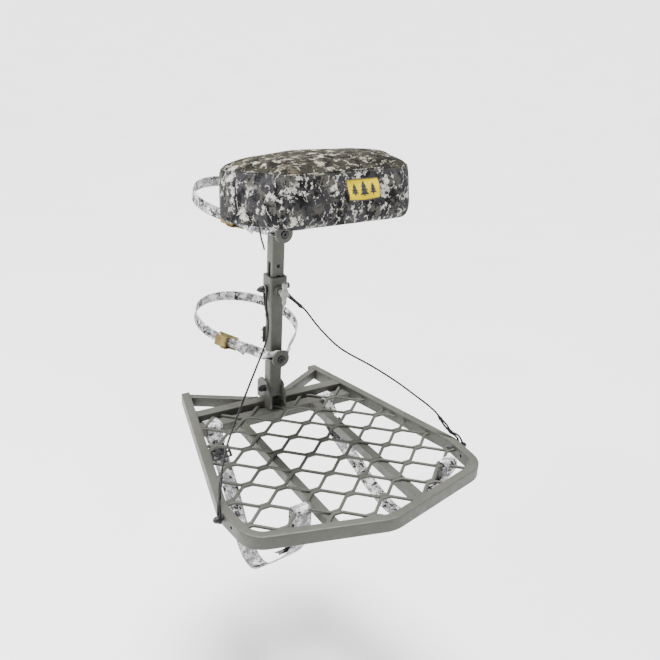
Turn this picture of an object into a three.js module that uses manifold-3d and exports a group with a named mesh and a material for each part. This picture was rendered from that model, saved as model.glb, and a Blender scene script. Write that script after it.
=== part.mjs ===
// Hang-on tree stand: a folding platform and a flip-up seat on one post, held to a trunk by two straps.
// Units are millimetres. X points right, -Y points away from the tree, +Z points up.
// The origin lies midway between the platform's rear corners, level with its top face.

import * as THREE from "three";
import { mergeVertices } from "three/addons/utils/BufferGeometryUtils.js";
import Module from "manifold-3d";

const wasm = await Module();
wasm.setup();

// ---------------------------------------------------------------- driving dimensions

const GAP = 0.3;                        // between pieces that touch

const RIM_HEIGHT = 30;                  // platform rim, a rounded flat tube
const RIM_WIDTH = 20;
const REAR_HALF_WIDTH = 183;
const BEND_HALF_WIDTH = 287;            // where each rail turns to run straight ahead
const BEND_Y = -452;
const CORNER_HALF_WIDTH = 277;          // where the side and front lines would cross
const CORNER_Y = -564;
const APEX_Y = -636;
const BEND_RADIUS = 70;
const CORNER_RADIUS = 56;
const APEX_RADIUS = 75;
const RIM_EDGE = 3;

const CROSSBAR_REAR_Y = -93;            // rear crossbar, flush with the rim's top
const CROSSBAR_FRONT_Y = -118;
const CROSSBAR_HEIGHT = 25;
const DECK_BAR_TOP = -15;               // bars under the mesh
const DECK_BAR_BOTTOM = -38;
const DECK_CROSSBAR_REAR_Y = -122;      // leaves room for a strap behind it
const DECK_CROSSBAR_FRONT_Y = -150;
const DECK_BAR_X = 99.5;
const DECK_BAR_WIDTH = 20;
const V_BAR_APEX_Y = -108;              // V-bars bear on the trunk
const V_BAR_SLOPE = 0.578;
const V_BAR_WIDTH = 16;
const V_BAR_HEIGHT = 25;

const MESH_TOP = -9.7;                  // expanded-metal deck
const MESH_THICKNESS = 5;
const MESH_LONG_PITCH = 113;
const MESH_SHORT_PITCH = 79.7;
const MESH_FIRST_ROW_Y = -353;
const MESH_HOLE = [[-41, 0], [-12, -34.5], [12, -34.5], [41, 0], [12, 34.5], [-12, 34.5]];
const MESH_BORDER = 4;
const MESH_SLIVER = 2500;               // cubic mm: smaller cut-off holes are left solid

const POST_SIZE = 30;                   // square post tube
const POST_WALL = 2.5;
const POST_Y = -117;
const POST_BOTTOM = 15;
const POST_TOP = 455;
const PIVOT_Z = 34;                     // platform hinge
const BOLT_R = 5;
const EAR_THICKNESS = 5;
const EAR_X = POST_SIZE / 2 + 0.6;      // inner face of each ear

const ANCHOR_Z = 284;                   // cable anchor bolt and clamp screw
const COLLAR_SIZE = 42;
const COLLAR_BORE = 30.6;
const COLLAR_BOTTOM = 258;
const COLLAR_TOP = 314;
const SLOT_TOP = 346;
const SLOT_WIDTH = 10.6;
const ADJUST_HOLES = [264, 289, 314, 339];
const KNOB_FRONT_Y = -167;

const SPOOL_R = 21;                     // flanged strap spools on the post's front
const SPOOL_BARREL_R = 9;
const SPOOL_FRONT_Y = -157;
const LOWER_STRAP_Z = 122;
const UPPER_STRAP_Z = 419;

const TRUNK_Y = 30;                     // the tree that the straps are closed around
const TRUNK_R = 124;
const WEBBING_WIDTH = 26;
const WEBBING_THICKNESS = 2.2;
const STRAP_TILT = 8.4;                 // degrees, the loop rises towards the rear
const STRAP_ROLL = 6.6;                 // degrees, and towards the left
const LOWER_BUCKLE_RUN = 114;           // buckle centre, along the strap from its sewn eye
const UPPER_BUCKLE_RUN = 96;
const BUCKLE_HALF = 27;

const SEAT_PIVOT_Y = -150;
const SEAT_PIVOT_Z = 468;
const SEAT_RECLINE = 7;                 // degrees, front edge up
const SEAT_THICKNESS = 108;
const SEAT_OUTLINE = [[33, -147], [205, -258], [137, -424], [-137, -424], [-205, -258], [-33, -147]];
const SEAT_RADII = [18, 30, 40, 40, 30, 18];
const SEAT_PAN_INSET = 22;
const SEAT_PAN_THICKNESS = 4;
const SEAT_ARM_INNER_X = 21;
const SEAT_ARM_THICKNESS = 5;
const SEAT_ARM_LENGTH = 205;

const CABLE_R = 2.2;                    // vinyl-covered steel cable
const CABLE_BOLT_Y = -470;              // the bolt through each rail that holds a cable
const CABLE_BOLT_Z = -13;
const SPARE_HOLE_Y = -503;              // a second hole through each rail
const SPARE_HOLE_R = 3.6;
const CARRY_WIDTH = 38;
const CARRY_THICKNESS = 2.5;

// ---------------------------------------------------------------- materials

function metal(color, roughness) {
  return new THREE.MeshStandardMaterial({ color, roughness, metalness: 0.6 });
}

function soft(color, roughness) {
  return new THREE.MeshStandardMaterial({ color, roughness, metalness: 0 });
}

const FRAME_PAINT = metal(0x8f9087, 0.55);
const BLACK_STEEL = metal(0x18181a, 0.45);
const ZINC = metal(0xb9bab6, 0.4);
const BRASS = metal(0xa8935c, 0.4);
const CAMO_CLOTH = soft(0x6f6d67, 0.9);
const WEBBING = soft(0xa9aaa6, 0.85);
const BLACK_PLASTIC = soft(0x141414, 0.5);

// ---------------------------------------------------------------- helpers: solids and booleans

function toManifold(geometry) {
  const bare = geometry.index ? geometry.toNonIndexed() : geometry.clone();
  bare.deleteAttribute("normal");
  bare.deleteAttribute("uv");
  const merged = mergeVertices(bare, 1e-4);
  const vertProperties = new Float32Array(merged.attributes.position.array);
  const triVerts = new Uint32Array(merged.index.array);
  return new wasm.Manifold(new wasm.Mesh({ numProp: 3, vertProperties, triVerts }));
}

function toGeometry(solid) {
  const mesh = solid.getMesh();
  const geometry = new THREE.BufferGeometry();
  const positions = new Float32Array(mesh.vertProperties);
  geometry.setAttribute("position", new THREE.BufferAttribute(positions, 3));
  geometry.setIndex(new THREE.BufferAttribute(new Uint32Array(mesh.triVerts), 1));
  geometry.computeVertexNormals();
  return geometry;
}

function cut(geometry, tools) {
  const whole = toManifold(geometry);
  return toGeometry(tools.reduce((solid, tool) => solid.subtract(toManifold(tool)), whole));
}

function join(geometries) {
  const solids = geometries.map(toManifold);
  return toGeometry(solids.reduce((whole, solid) => whole.add(solid)));
}

function shapeOf(points) {
  return new THREE.Shape(points.map(([x, y]) => new THREE.Vector2(x, y)));
}

// A prism over an XY outline between two heights.
function prism(points, zLow, zHigh, edge = 0) {
  const depth = zHigh - zLow - 2 * edge;
  const geometry = new THREE.ExtrudeGeometry(shapeOf(points), {
    depth,
    bevelEnabled: edge > 0,
    bevelSize: edge,
    bevelThickness: edge,
    bevelOffset: -edge,
    bevelSegments: 2,
  });
  return geometry.translate(0, 0, zLow + edge);
}

// A plate over a YZ outline between two X values.
function sidePlate(points, xLow, xHigh) {
  const depth = xHigh - xLow;
  const geometry = new THREE.ExtrudeGeometry(shapeOf(points), { depth, bevelEnabled: false });
  geometry.applyMatrix4(new THREE.Matrix4().set(0, 0, 1, xLow, 1, 0, 0, 0, 0, 1, 0, 0, 0, 0, 0, 1));
  return geometry;
}

function box(xLow, xHigh, yLow, yHigh, zLow, zHigh) {
  const geometry = new THREE.BoxGeometry(xHigh - xLow, yHigh - yLow, zHigh - zLow);
  return geometry.translate((xLow + xHigh) / 2, (yLow + yHigh) / 2, (zLow + zHigh) / 2);
}

// Cylinders along one axis, from a lower to a higher coordinate.
function rodX(r, xLow, xHigh, y, z, sides = 14) {
  const geometry = new THREE.CylinderGeometry(r, r, xHigh - xLow, sides);
  return geometry.rotateZ(Math.PI / 2).translate((xLow + xHigh) / 2, y, z);
}

function rodY(r, yLow, yHigh, x, z, sides = 14) {
  const geometry = new THREE.CylinderGeometry(r, r, yHigh - yLow, sides);
  return geometry.translate(x, (yLow + yHigh) / 2, z);
}

// A turned piece about a Y axis: the profile holds [radius, distance towards -Y].
function turnedY(profile, x, y, z, sides = 20) {
  const geometry = new THREE.LatheGeometry(profile.map(([r, d]) => new THREE.Vector2(r, d)), sides);
  return geometry.rotateX(Math.PI).translate(x, y, z);
}

// A turned piece about an X axis: the profile holds [radius, distance towards +X or -X].
function turnedX(profile, x, y, z, direction, sides = 14) {
  const geometry = new THREE.LatheGeometry(profile.map(([r, d]) => new THREE.Vector2(r, d)), sides);
  return geometry.rotateZ(-direction * Math.PI / 2).translate(x, y, z);
}

// ---------------------------------------------------------------- helpers: outlines

function unit([x, y]) {
  const length = Math.hypot(x, y);
  return [x / length, y / length];
}

// An open or closed polyline with its inner corners rounded.
function rounded(points, radii, closed = false, steps = 6) {
  const out = [];
  const n = points.length;
  points.forEach((p, i) => {
    const r = Array.isArray(radii) ? radii[i] : radii;
    if (!closed && (i === 0 || i === n - 1)) {
      out.push(p);
      return;
    }
    const a = points[(i + n - 1) % n];
    const b = points[(i + 1) % n];
    const u = unit([a[0] - p[0], a[1] - p[1]]);
    const v = unit([b[0] - p[0], b[1] - p[1]]);
    const half = Math.acos(u[0] * v[0] + u[1] * v[1]) / 2;
    const reach = r / Math.tan(half);
    const towards = unit([u[0] + v[0], u[1] + v[1]]);
    const centre = [p[0] + towards[0] * r / Math.sin(half), p[1] + towards[1] * r / Math.sin(half)];
    const start = Math.atan2(p[1] + u[1] * reach - centre[1], p[0] + u[0] * reach - centre[0]);
    const end = Math.atan2(p[1] + v[1] * reach - centre[1], p[0] + v[0] * reach - centre[0]);
    const turn = Math.atan2(Math.sin(end - start), Math.cos(end - start));
    for (let k = 0; k <= steps; k += 1) {
      const t = start + turn * k / steps;
      out.push([centre[0] + r * Math.cos(t), centre[1] + r * Math.sin(t)]);
    }
  });
  return out;
}

function crossing(p, u, q, v) {
  const det = u[0] * v[1] - u[1] * v[0];
  const t = ((q[0] - p[0]) * v[1] - (q[1] - p[1]) * v[0]) / det;
  return [p[0] + u[0] * t, p[1] + u[1] * t];
}

// The polyline moved sideways, to its left for a positive distance.
function offset(points, distance) {
  const lines = points.slice(1).map((p, i) => {
    const from = points[i];
    const u = unit([p[0] - from[0], p[1] - from[1]]);
    const normal = [-u[1], u[0]];
    return { u, normal, at: [from[0] + normal[0] * distance, from[1] + normal[1] * distance] };
  });
  const first = lines[0].at;
  const tail = points[points.length - 1];
  const { normal } = lines[lines.length - 1];
  const last = [tail[0] + normal[0] * distance, tail[1] + normal[1] * distance];
  const inner = lines.slice(1).map((line, i) => crossing(lines[i].at, lines[i].u, line.at, line.u));
  return [first, ...inner, last];
}

// A band of a given thickness along a polyline.
function band(points, thickness) {
  return [...offset(points, thickness / 2), ...offset(points, -thickness / 2).reverse()];
}

function mirrorX(points) {
  return points.map(([x, y]) => [-x, y]).reverse();
}

// ---------------------------------------------------------------- scene graph

const stand = new THREE.Group();
stand.name = "tree_stand";

function add(name, geometry, material, parent = stand) {
  const mesh = new THREE.Mesh(geometry, material);
  mesh.name = name;
  parent.add(mesh);
  return mesh;
}

const SIDES = [["left", -1], ["right", 1]];

// ---------------------------------------------------------------- platform: rim and bars

const RIM_CORNERS = [
  [-REAR_HALF_WIDTH, 0],
  [-BEND_HALF_WIDTH, BEND_Y],
  [-CORNER_HALF_WIDTH, CORNER_Y],
  [0, APEX_Y],
  [CORNER_HALF_WIDTH, CORNER_Y],
  [BEND_HALF_WIDTH, BEND_Y],
  [REAR_HALF_WIDTH, 0],
];
const RIM_RADII = [0, BEND_RADIUS, CORNER_RADIUS, APEX_RADIUS, CORNER_RADIUS, BEND_RADIUS, 0];

const RAIL_SLOPE = (BEND_HALF_WIDTH - REAR_HALF_WIDTH) / BEND_Y;
const RAIL_STRETCH = Math.hypot(1, RAIL_SLOPE);
const FRONT_SLOPE = (CORNER_HALF_WIDTH - BEND_HALF_WIDTH) / (CORNER_Y - BEND_Y);
const RAIL_OUTER_X = BEND_HALF_WIDTH + FRONT_SLOPE * (CABLE_BOLT_Y - BEND_Y);

// The rim's edge, moved inwards by a distance, with its bends kept concentric.
function rimLine(inset) {
  const corners = offset(RIM_CORNERS, inset);
  const rear = REAR_HALF_WIDTH - inset * RAIL_STRETCH;
  corners[0] = [-rear, 0];
  corners[RIM_CORNERS.length - 1] = [rear, 0];
  const radii = RIM_RADII.map((r) => Math.max(r - inset, 0));
  return rounded(corners, radii, false, 8);
}

// X of the rail's inner face, less the gap, at a given Y.
function railInner(y) {
  return REAR_HALF_WIDTH + RAIL_SLOPE * y - (RIM_WIDTH + GAP) * RAIL_STRETCH;
}

// A cylinder along a rail's cable bolt, long enough to cut through all that it meets.
function boltRoom(side, r) {
  return rodX(r, side * RAIL_OUTER_X - 40, side * RAIL_OUTER_X + 40, CABLE_BOLT_Y, CABLE_BOLT_Z, 12);
}

function platformRim() {
  const outline = [...rimLine(0), ...rimLine(RIM_WIDTH).reverse()];
  const holes = SIDES.flatMap(([, side]) => [
    boltRoom(side, 4.3),
    boltRoom(side, SPARE_HOLE_R).translate(0, SPARE_HOLE_Y - CABLE_BOLT_Y, 0),
  ]);
  return cut(prism(outline, -RIM_HEIGHT, 0, RIM_EDGE), holes);
}

// A crossbar between the two rails.
function crossbar(yFront, yRear, zLow, zHigh) {
  const outline = [
    [-railInner(yRear), yRear],
    [-railInner(yFront), yFront],
    [railInner(yFront), yFront],
    [railInner(yRear), yRear],
  ];
  return prism(outline, zLow, zHigh, 2);
}

// One arm of the V that bears on the trunk, from the rear crossbar to the rail.
function vBar(side) {
  const rise = V_BAR_WIDTH * Math.hypot(1, V_BAR_SLOPE);
  const start = CROSSBAR_REAR_Y + GAP;
  const rail = { at: [railInner(0), 0], u: unit([RAIL_SLOPE, 1]) };
  const u = unit([1, V_BAR_SLOPE]);
  const outline = [
    [(start - V_BAR_APEX_Y) / V_BAR_SLOPE, start],
    [(start - V_BAR_APEX_Y + rise) / V_BAR_SLOPE, start],
    crossing([0, V_BAR_APEX_Y - rise], u, rail.at, rail.u),
    crossing([0, V_BAR_APEX_Y], u, rail.at, rail.u),
  ];
  const points = side > 0 ? outline : mirrorX(outline);
  return prism(points, -V_BAR_HEIGHT, 0, 2);
}

// A bar under the mesh, from the front crossbar to the rim.
function deckBar(side) {
  const rear = DECK_CROSSBAR_FRONT_Y - GAP;
  const frontSlope = (CORNER_Y - APEX_Y) / CORNER_HALF_WIDTH;
  const inset = (RIM_WIDTH + GAP) * Math.hypot(1, frontSlope);
  const front = (x) => APEX_Y + inset + frontSlope * x;
  const near = DECK_BAR_X - DECK_BAR_WIDTH / 2;
  const far = DECK_BAR_X + DECK_BAR_WIDTH / 2;
  const outline = [[near, rear], [near, front(near)], [far, front(far)], [far, rear]];
  const points = side > 0 ? outline : mirrorX(outline);
  return prism(points, DECK_BAR_BOTTOM, DECK_BAR_TOP, 2);
}

// The expanded-metal deck: hexagonal holes in staggered rows, cut off by the rim.
function deckMesh() {
  const rear = CROSSBAR_FRONT_Y - GAP;
  const clip = (inset, margin) => {
    const line = rimLine(inset).filter(([, y]) => y < rear - 20);
    const x = railInner(rear);
    return [[-x + margin, rear - margin], ...line, [x - margin, rear - margin]];
  };
  const low = MESH_TOP - MESH_THICKNESS;
  const plate = prism(clip(RIM_WIDTH + GAP, 0), low, MESH_TOP);
  const inside = clip(RIM_WIDTH + GAP + MESH_BORDER, MESH_BORDER);
  const field = toManifold(prism(inside, low - 5, MESH_TOP + 5));
  const holes = [];
  for (let row = -7; row <= 7; row += 1) {
    for (let column = -6; column <= 6; column += 1) {
      const x = column * MESH_LONG_PITCH / 2 + MESH_LONG_PITCH / 4;
      const y = MESH_FIRST_ROW_Y - row * MESH_SHORT_PITCH / 2;
      if ((row + column) % 2 === 0) {
        holes.push(MESH_HOLE.map(([hx, hy]) => [x + hx, y + hy]));
      }
    }
  }
  const cutter = holes
    .map((hole) => toManifold(prism(hole, low - 5, MESH_TOP + 5)).intersect(field))
    .filter((solid) => solid.volume() > MESH_SLIVER);
  const headRoom = SIDES.map(([, side]) => toManifold(boltRoom(side, 9)));
  const openings = [...cutter, ...headRoom];
  return toGeometry(openings.reduce((solid, opening) => solid.subtract(opening), toManifold(plate)));
}

add("platform_rim", platformRim(), FRAME_PAINT);
add("rear_crossbar", crossbar(CROSSBAR_FRONT_Y, CROSSBAR_REAR_Y, -CROSSBAR_HEIGHT, 0), FRAME_PAINT);
add(
  "deck_crossbar",
  crossbar(DECK_CROSSBAR_FRONT_Y, DECK_CROSSBAR_REAR_Y, DECK_BAR_BOTTOM, DECK_BAR_TOP),
  FRAME_PAINT,
);
add("deck_mesh", deckMesh(), FRAME_PAINT);
SIDES.forEach(([name, side]) => {
  add(`v_bar_${name}`, vBar(side), FRAME_PAINT);
  add(`deck_bar_${name}`, deckBar(side), FRAME_PAINT);
});

// ---------------------------------------------------------------- platform: hinge ears and pivot bolt

const EAR_OUTLINE = [
  [-78, GAP],
  [CROSSBAR_FRONT_Y - GAP, GAP],
  [CROSSBAR_FRONT_Y - GAP, MESH_TOP + GAP],
  [-147, MESH_TOP + GAP],
  [-147, 24],
  [-124, 52],
  [-92, 52],
  [-78, 38],
];
const EAR_RADII = [1, 0.5, 0.5, 1, 8, 13, 13, 10];

function ear(side) {
  const low = side > 0 ? EAR_X : -EAR_X - EAR_THICKNESS;
  const plate = sidePlate(rounded(EAR_OUTLINE, EAR_RADII, true, 4), low, low + EAR_THICKNESS);
  return cut(plate, [rodX(BOLT_R + GAP, low - 5, low + 12, POST_Y, PIVOT_Z)]);
}

const HEAD_THICKNESS = 6.5;
const EAR_OUTER = EAR_X + EAR_THICKNESS;
const PIVOT_NUT = 13;                   // a tall lock nut

// A hexagon-headed bolt along X with its head on the right.
function boltX(r, headR, xLow, xHigh, y, z) {
  const head = rodX(headR, xHigh, xHigh + HEAD_THICKNESS, y, z, 6);
  return join([rodX(r, xLow, xHigh + 1, y, z), head]);
}

function nutX(r, headR, xLow, xHigh, y, z) {
  return cut(rodX(headR, xLow, xHigh, y, z, 6), [rodX(r, xLow - 5, xHigh + 5, y, z)]);
}

SIDES.forEach(([name, side]) => add(`hinge_ear_${name}`, ear(side), FRAME_PAINT));
add(
  "platform_pivot_bolt",
  boltX(BOLT_R, 8.5, -EAR_OUTER - PIVOT_NUT - 5, EAR_OUTER + GAP, POST_Y, PIVOT_Z),
  BLACK_STEEL,
);
add(
  "platform_pivot_nut",
  nutX(BOLT_R + GAP, 8.5, -EAR_OUTER - GAP - PIVOT_NUT, -EAR_OUTER - GAP, POST_Y, PIVOT_Z),
  BLACK_STEEL,
);

// ---------------------------------------------------------------- post

function squareTube(size, wall, radius, zLow, zHigh, y) {
  const h = size / 2;
  const square = [[-h, -h], [h, -h], [h, h], [-h, h]];
  const outer = rounded(square, radius, true, 3).map(([px, py]) => [px, py + y]);
  const k = h - wall;
  const bore = [[-k, y - k], [k, y - k], [k, y + k], [-k, y + k]];
  return { outer: prism(outer, zLow, zHigh), bore: prism(bore, zLow - 5, zHigh + 5) };
}

function post() {
  const tube = squareTube(POST_SIZE, POST_WALL, 3, POST_BOTTOM, POST_TOP, POST_Y);
  const front = POST_Y - POST_SIZE / 2;
  const slotLow = ANCHOR_Z - SLOT_WIDTH / 2;
  const slot = box(-30, 30, POST_Y - SLOT_WIDTH / 2, POST_Y + SLOT_WIDTH / 2, slotLow, SLOT_TOP);
  const holes = ADJUST_HOLES.map((z) => rodY(4, front - 5, front + 5, 0, z, 14));
  const studs = [LOWER_STRAP_Z, UPPER_STRAP_Z].map((z) => rodY(4.3, front - 5, front + 5, 0, z, 14));
  const pivotHole = rodX(BOLT_R + GAP, -30, 30, POST_Y, PIVOT_Z);
  return cut(tube.outer, [tube.bore, pivotHole, slot, ...holes, ...studs]);
}

// A channel with four teeth that bites the bark behind the post.
function treeBracket() {
  const rear = POST_Y + POST_SIZE / 2 + GAP;
  const back = box(-20, 20, rear, rear + 3, 145, 185);
  const teeth = [-1, 1].flatMap((s) => [150, 170].map((z) => {
    const profile = [[rear + 1, z], [rear + 12, z + 5], [rear + 1, z + 10]];
    return sidePlate(profile, s > 0 ? 16.5 : -20, s > 0 ? 20 : -16.5);
  }));
  return join([back, ...teeth]);
}

add("post", post(), FRAME_PAINT);
add("tree_bracket", treeBracket(), FRAME_PAINT);

// ---------------------------------------------------------------- strap spools

const POST_FRONT_Y = POST_Y - POST_SIZE / 2;

// Flange and barrel turned in one piece, with a bore for its bolt.
function strapSpool(z) {
  const length = POST_FRONT_Y - GAP - SPOOL_FRONT_Y;
  const profile = [
    [5.3, 0],
    [SPOOL_BARREL_R, 0],
    [SPOOL_BARREL_R, length - 7],
    [SPOOL_R - 2, length - 7],
    [SPOOL_R, length - 5],
    [SPOOL_R, length - 2],
    [SPOOL_R - 2, length],
    [9.5, length],
    [8.5, length - 2.5],
    [5.3, length - 2.5],
    [5.3, 0],
  ];
  return turnedY(profile, 0, POST_FRONT_Y - GAP, z);
}

// A socket-head bolt into the post's front wall.
function spoolBolt(z) {
  const seat = SPOOL_FRONT_Y + 2.5 - GAP;
  const head = rodY(7.6, seat - 4, seat, 0, z, 24);
  const socket = rodY(3.2, seat - 10, seat - 1, 0, z, 6);
  return cut(join([rodY(4, seat - 1, POST_FRONT_Y + POST_WALL + 5, 0, z, 14), head]), [socket]);
}

[["lower", LOWER_STRAP_Z], ["upper", UPPER_STRAP_Z]].forEach(([name, z]) => {
  add(`${name}_strap_spool`, strapSpool(z), FRAME_PAINT);
  add(`${name}_spool_bolt`, spoolBolt(z), BLACK_STEEL);
});

// ---------------------------------------------------------------- tree straps and cam buckles
// Each strap is drawn in plan with its spool at the origin, then tilted about it.

const STUD_Y = -142;                    // plane of the sewn eyes, between flange and post
const EYE_R = 12.4;
const RUN_LEFT = [-16, -2];             // where each run leaves its eye, one eye behind the other
const RUN_RIGHT = [16, 2];

// Where the straight run meets the trunk, for a run that starts at a point.
function tangent(start, side) {
  const dx = -start[0];
  const dy = TRUNK_Y - STUD_Y - start[1];
  const reach = Math.hypot(dx, dy);
  const r = TRUNK_R + WEBBING_THICKNESS / 2;
  const heading = Math.atan2(dy, dx) + side * -1 * Math.asin(r / reach);
  const length = Math.sqrt(reach * reach - r * r);
  return { length, u: [Math.cos(heading), Math.sin(heading)] };
}

function along(start, u, s) {
  return [start[0] + u[0] * s, start[1] + u[1] * s];
}

// The short strap: a sewn eye over the spool's barrel, then a straight run to the buckle.
function shortStrapPlan(buckleRun) {
  const { u } = tangent(RUN_LEFT, -1);
  return [[EYE_R, -2], RUN_LEFT, along(RUN_LEFT, u, buckleRun - BUCKLE_HALF + 8)];
}

// The long strap: from the buckle round the trunk and back to the spool from the right.
function longStrapPlan(buckleRun) {
  const run = tangent(RUN_LEFT, -1);
  const back = tangent(RUN_RIGHT, 1);
  const start = along(RUN_LEFT, run.u, buckleRun - 2);
  const centre = [0, TRUNK_Y - STUD_Y];
  const r = TRUNK_R + WEBBING_THICKNESS / 2;
  const arc = [];
  const bearing = ([x, y]) => Math.atan2(y - centre[1], x - centre[0]);
  const from = bearing(along(RUN_LEFT, run.u, run.length));
  const to = bearing(along(RUN_RIGHT, back.u, back.length));
  const sweep = -((from - to + 4 * Math.PI) % (2 * Math.PI));
  const steps = 30;
  for (let k = 2; k <= steps; k += 1) {
    const t = from + sweep * k / steps;
    arc.push([centre[0] + r * Math.cos(t), centre[1] + r * Math.sin(t)]);
  }
  const lift = along(RUN_LEFT, run.u, buckleRun + BUCKLE_HALF);
  return [start, lift, ...arc, RUN_RIGHT, [-EYE_R, 2]];
}

function webbing(plan, hole) {
  const h = WEBBING_WIDTH / 2;
  const strip = prism(band(plan, WEBBING_THICKNESS), -h, h);
  return cut(strip, [rodY(SPOOL_BARREL_R + 1.2, hole - 4, hole + 4, 0, 0, 20)]);
}

// A tilted frame that holds one strap and its buckle.
function strapFrame(z) {
  const frame = new THREE.Group();
  frame.position.set(0, STUD_Y, z);
  frame.rotation.set(
    THREE.MathUtils.degToRad(STRAP_TILT),
    THREE.MathUtils.degToRad(STRAP_ROLL),
    0,
  );
  stand.add(frame);
  return frame;
}

// Buckle pieces lie along the strap: X along it, -Y outwards from the trunk, Z across it.
const CAM_PIN_X = -3;
const CAM_PIN_Y = -7.4;
const BUCKLE_WALL_Z = WEBBING_WIDTH / 2 + 0.8;
const BUCKLE_WALL = 2;

function buckleBody() {
  const far = BUCKLE_WALL_Z + BUCKLE_WALL;
  const half = BUCKLE_HALF - 3;
  const base = box(-half, half, 1.6, 3.6, -far, far);
  const profile = [[-20, 3.6], [-20, -4], [-9, -14], [2, -14], [9, -5], [24, -3], [24, 3.6]];
  const walls = [-far, BUCKLE_WALL_Z].map((z) => prism(profile, z, z + BUCKLE_WALL));
  const pinHole = new THREE.CylinderGeometry(2.8, 2.8, 80, 14);
  pinHole.rotateX(Math.PI / 2).translate(CAM_PIN_X, CAM_PIN_Y, 0);
  return cut(join([base, ...walls]), [pinHole]);
}

function bucklePin() {
  const length = 2 * (BUCKLE_WALL_Z + BUCKLE_WALL) + 1;
  const pin = new THREE.CylinderGeometry(2.4, 2.4, length, 14);
  return pin.rotateX(Math.PI / 2).translate(CAM_PIN_X, CAM_PIN_Y, 0);
}

function buckleCam() {
  const h = BUCKLE_WALL_Z - 0.5;
  const drum = new THREE.CylinderGeometry(5.2, 5.2, 2 * h, 18);
  drum.rotateX(Math.PI / 2).translate(CAM_PIN_X, CAM_PIN_Y, 0);
  const lever = box(-BUCKLE_HALF, CAM_PIN_X, CAM_PIN_Y - 4.6, CAM_PIN_Y - 2, -h, h);
  const bore = new THREE.CylinderGeometry(2.7, 2.7, 80, 14);
  bore.rotateX(Math.PI / 2).translate(CAM_PIN_X, CAM_PIN_Y, 0);
  return cut(join([drum, lever]), [bore]);
}

function treeStrap(name, z, buckleRun) {
  const frame = strapFrame(z);
  add(`${name}_strap_short`, webbing(shortStrapPlan(buckleRun), -2), WEBBING, frame);
  add(`${name}_strap_long`, webbing(longStrapPlan(buckleRun), 2), WEBBING, frame);
  const { u } = tangent(RUN_LEFT, -1);
  const [x, y] = along(RUN_LEFT, u, buckleRun);
  const buckle = new THREE.Group();
  buckle.position.set(x, y, 0);
  buckle.rotation.z = Math.atan2(u[1], u[0]) + Math.PI;
  frame.add(buckle);
  add(`${name}_buckle_body`, buckleBody(), BRASS, buckle);
  add(`${name}_buckle_pin`, bucklePin(), BRASS, buckle);
  add(`${name}_buckle_cam`, buckleCam(), BRASS, buckle);
}

treeStrap("lower", LOWER_STRAP_Z, LOWER_BUCKLE_RUN);
treeStrap("upper", UPPER_STRAP_Z, UPPER_BUCKLE_RUN);

// ---------------------------------------------------------------- collar, anchor bolt and clamp screw

const COLLAR_HALF = COLLAR_SIZE / 2;
const COLLAR_FRONT_Y = POST_Y - COLLAR_HALF;
const BOSS_R = 11;
const SCREW_R = 4;

function collar() {
  const wall = (COLLAR_SIZE - COLLAR_BORE) / 2;
  const tube = squareTube(COLLAR_SIZE, wall, 5, COLLAR_BOTTOM, COLLAR_TOP, POST_Y);
  const boss = rodY(BOSS_R, COLLAR_FRONT_Y - 8, COLLAR_FRONT_Y + 1, 0, ANCHOR_Z, 24);
  return cut(join([tube.outer, boss]), [
    tube.bore,
    rodX(BOLT_R, -40, 40, POST_Y, ANCHOR_Z),
    rodY(SCREW_R + GAP, COLLAR_FRONT_Y - 20, POST_Y, 0, ANCHOR_Z, 16),
  ]);
}

const WASHER_R = 8.5;

function washerX(xLow, xHigh) {
  return cut(rodX(WASHER_R, xLow, xHigh, POST_Y, ANCHOR_Z), [rodX(5, -60, 60, POST_Y, ANCHOR_Z)]);
}

const ANCHOR_R = 4.7;
const EYE_SPACE = 5.2;                  // room for the cable eye on the anchor bolt
const WASHER_INNER = COLLAR_HALF + EYE_SPACE;
const WASHER_OUTER = WASHER_INNER + 2;

// A domed nut that closes the left end of the anchor bolt.
function anchorCapNut() {
  const profile = [[5, 0], [8, 0], [8, 5], [6.5, 9], [4, 14], [0, 18], [0, 12], [5, 10], [5, 0]];
  return turnedX(profile, -WASHER_OUTER - GAP, POST_Y, ANCHOR_Z, -1);
}

const collarFrame = new THREE.Group();
stand.add(collarFrame);
add("collar", collar(), FRAME_PAINT, collarFrame);
add(
  "anchor_bolt",
  boltX(ANCHOR_R, 7.5, -WASHER_OUTER - 9, WASHER_OUTER + GAP, POST_Y, ANCHOR_Z),
  BLACK_STEEL,
  collarFrame,
);
add("anchor_cap_nut", anchorCapNut(), BLACK_STEEL, collarFrame);
add("anchor_washer_left", washerX(-WASHER_OUTER, -WASHER_INNER), ZINC, collarFrame);
add("anchor_washer_right", washerX(WASHER_INNER, WASHER_OUTER), ZINC, collarFrame);

// A wing knob on the screw that locks the collar against the post.
function wingKnob() {
  const inner = COLLAR_FRONT_Y - 8 - GAP;
  const screw = rodY(SCREW_R, KNOB_FRONT_Y + 5, POST_FRONT_Y - GAP, 0, ANCHOR_Z, 16);
  const hub = rodY(9, KNOB_FRONT_Y, inner - 4, 0, ANCHOR_Z, 24);
  const wing = [[-8, -27], [8, -27], [10, 0], [8, 27], [-8, 27], [-10, 0]];
  const outline = rounded(wing, [6, 6, 3, 6, 6, 3], true, 4);
  const wings = new THREE.ExtrudeGeometry(shapeOf(outline), { depth: 6, bevelEnabled: false });
  wings.rotateX(Math.PI / 2).translate(0, KNOB_FRONT_Y + 11, ANCHOR_Z);
  return join([screw, hub, wings]);
}

add("wing_knob", wingKnob(), ZINC, collarFrame);

// ---------------------------------------------------------------- support cables

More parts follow.
